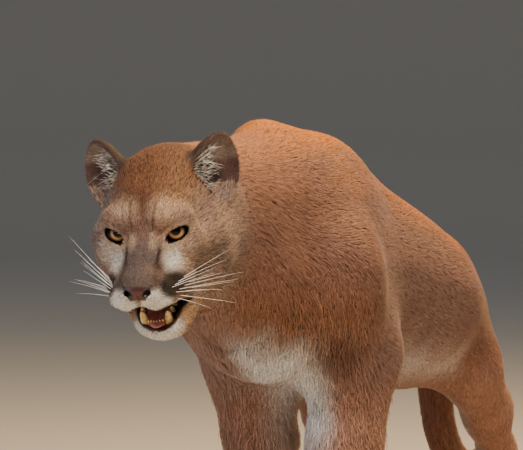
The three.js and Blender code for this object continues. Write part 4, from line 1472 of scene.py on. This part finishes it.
AZIMUTH, ELEVATION = math.radians(19), math.radians(2)
DISTANCE, FOCUS = 3.9, 2900  # metres to the withers, and focal length in pixels of the frame
WIDTH, HEIGHT = 523, 450
ANCHOR_PIXEL = (290, 128)  # where the withers stand in the picture
SENSOR = 36  # width of the camera's sensor in millimetres
anchor = Vector(metres((0, 0, SHOULDER)))
back = towards(AZIMUTH, ELEVATION)
right = Vector((math.cos(AZIMUTH), math.sin(AZIMUTH), 0))
up = back.cross(right)
dx = (ANCHOR_PIXEL[0] - WIDTH / 2) / FOCUS * DISTANCE
dy = (HEIGHT / 2 - ANCHOR_PIXEL[1]) / FOCUS * DISTANCE
camera = bpy.data.objects.new("camera", bpy.data.cameras.new("camera"))
bpy.context.scene.collection.objects.link(camera)
camera.location = anchor + back * DISTANCE - right * dx - up * dy
camera.rotation_euler = (-back).to_track_quat("-Z", "Y").to_euler()
camera.data.sensor_width = SENSOR
camera.data.lens = FOCUS / WIDTH * SENSOR
bpy.context.scene.camera = camera


def studio_material(name, colour):
    """Matt paper, rolled smooth: an even pale ground with no gloss."""
    material, tree, shader = new_material(name)
    shader.inputs["Base Color"].default_value = (*linear(colour), 1)
    shader.inputs["Roughness"].default_value = 0.9
    return material


# A round floor that curves up into a plain wall all round.
profile = [(0, 0), (5, 0), (10, 0), (12.2, 0.5), (13.6, 1.9), (14, 4.0), (14, 9)]
sides = 96
points, tris = [(0, 0, 0)], []
for radius, height in profile[1:]:
    for i in range(sides):
        a = 2 * math.pi * i / sides
        points.append((radius * math.cos(a), radius * math.sin(a), height))
for i in range(sides):
    j = (i + 1) % sides
    tris.append((0, 1 + i, 1 + j))
    for k in range(len(profile) - 2):
        a, b = 1 + k * sides + i, 1 + k * sides + j
        tris += [(a, a + sides, b), (b, a + sides, b + sides)]
floor_mesh = bpy.data.meshes.new("floor")
floor_mesh.from_pydata([(x, y, z - 0.0005) for x, y, z in points], [], tris)
floor_mesh.polygons.foreach_set("use_smooth", [True] * len(tris))
floor = bpy.data.objects.new("floor", floor_mesh)
bpy.context.scene.collection.objects.link(floor)
floor.data.materials.append(studio_material("pale_paper", "#c9c6c0"))

world = bpy.data.worlds.new("world")
world.use_nodes = True
world.node_tree.nodes["Background"].inputs["Color"].default_value = (*linear("#dfe3ea"), 1)
world.node_tree.nodes["Background"].inputs["Strength"].default_value = 0.27
bpy.context.scene.world = world


def softbox(name, azimuth, elevation, distance, size, power, colour):
    lamp = bpy.data.lights.new(name, "AREA")
    lamp.shape = "DISK"
    lamp.size = size
    lamp.energy = power
    lamp.color = tuple(linear(colour))
    obj = bpy.data.objects.new(name, lamp)
    way = towards(math.radians(azimuth), math.radians(elevation))
    middle = Vector(metres((-20, -260, 460)))
    obj.location = middle + way * distance
    obj.rotation_euler = (-way).to_track_quat("-Z", "Y").to_euler()
    bpy.context.scene.collection.objects.link(obj)


softbox("key", 34, 52, 2.6, 0.9, 92, "#fff0dc")
softbox("back", 150, 56, 3.0, 0.8, 160, "#ffd28e")
softbox("fill", -45, 14, 3.4, 2.4, 34, "#dfe8ff")
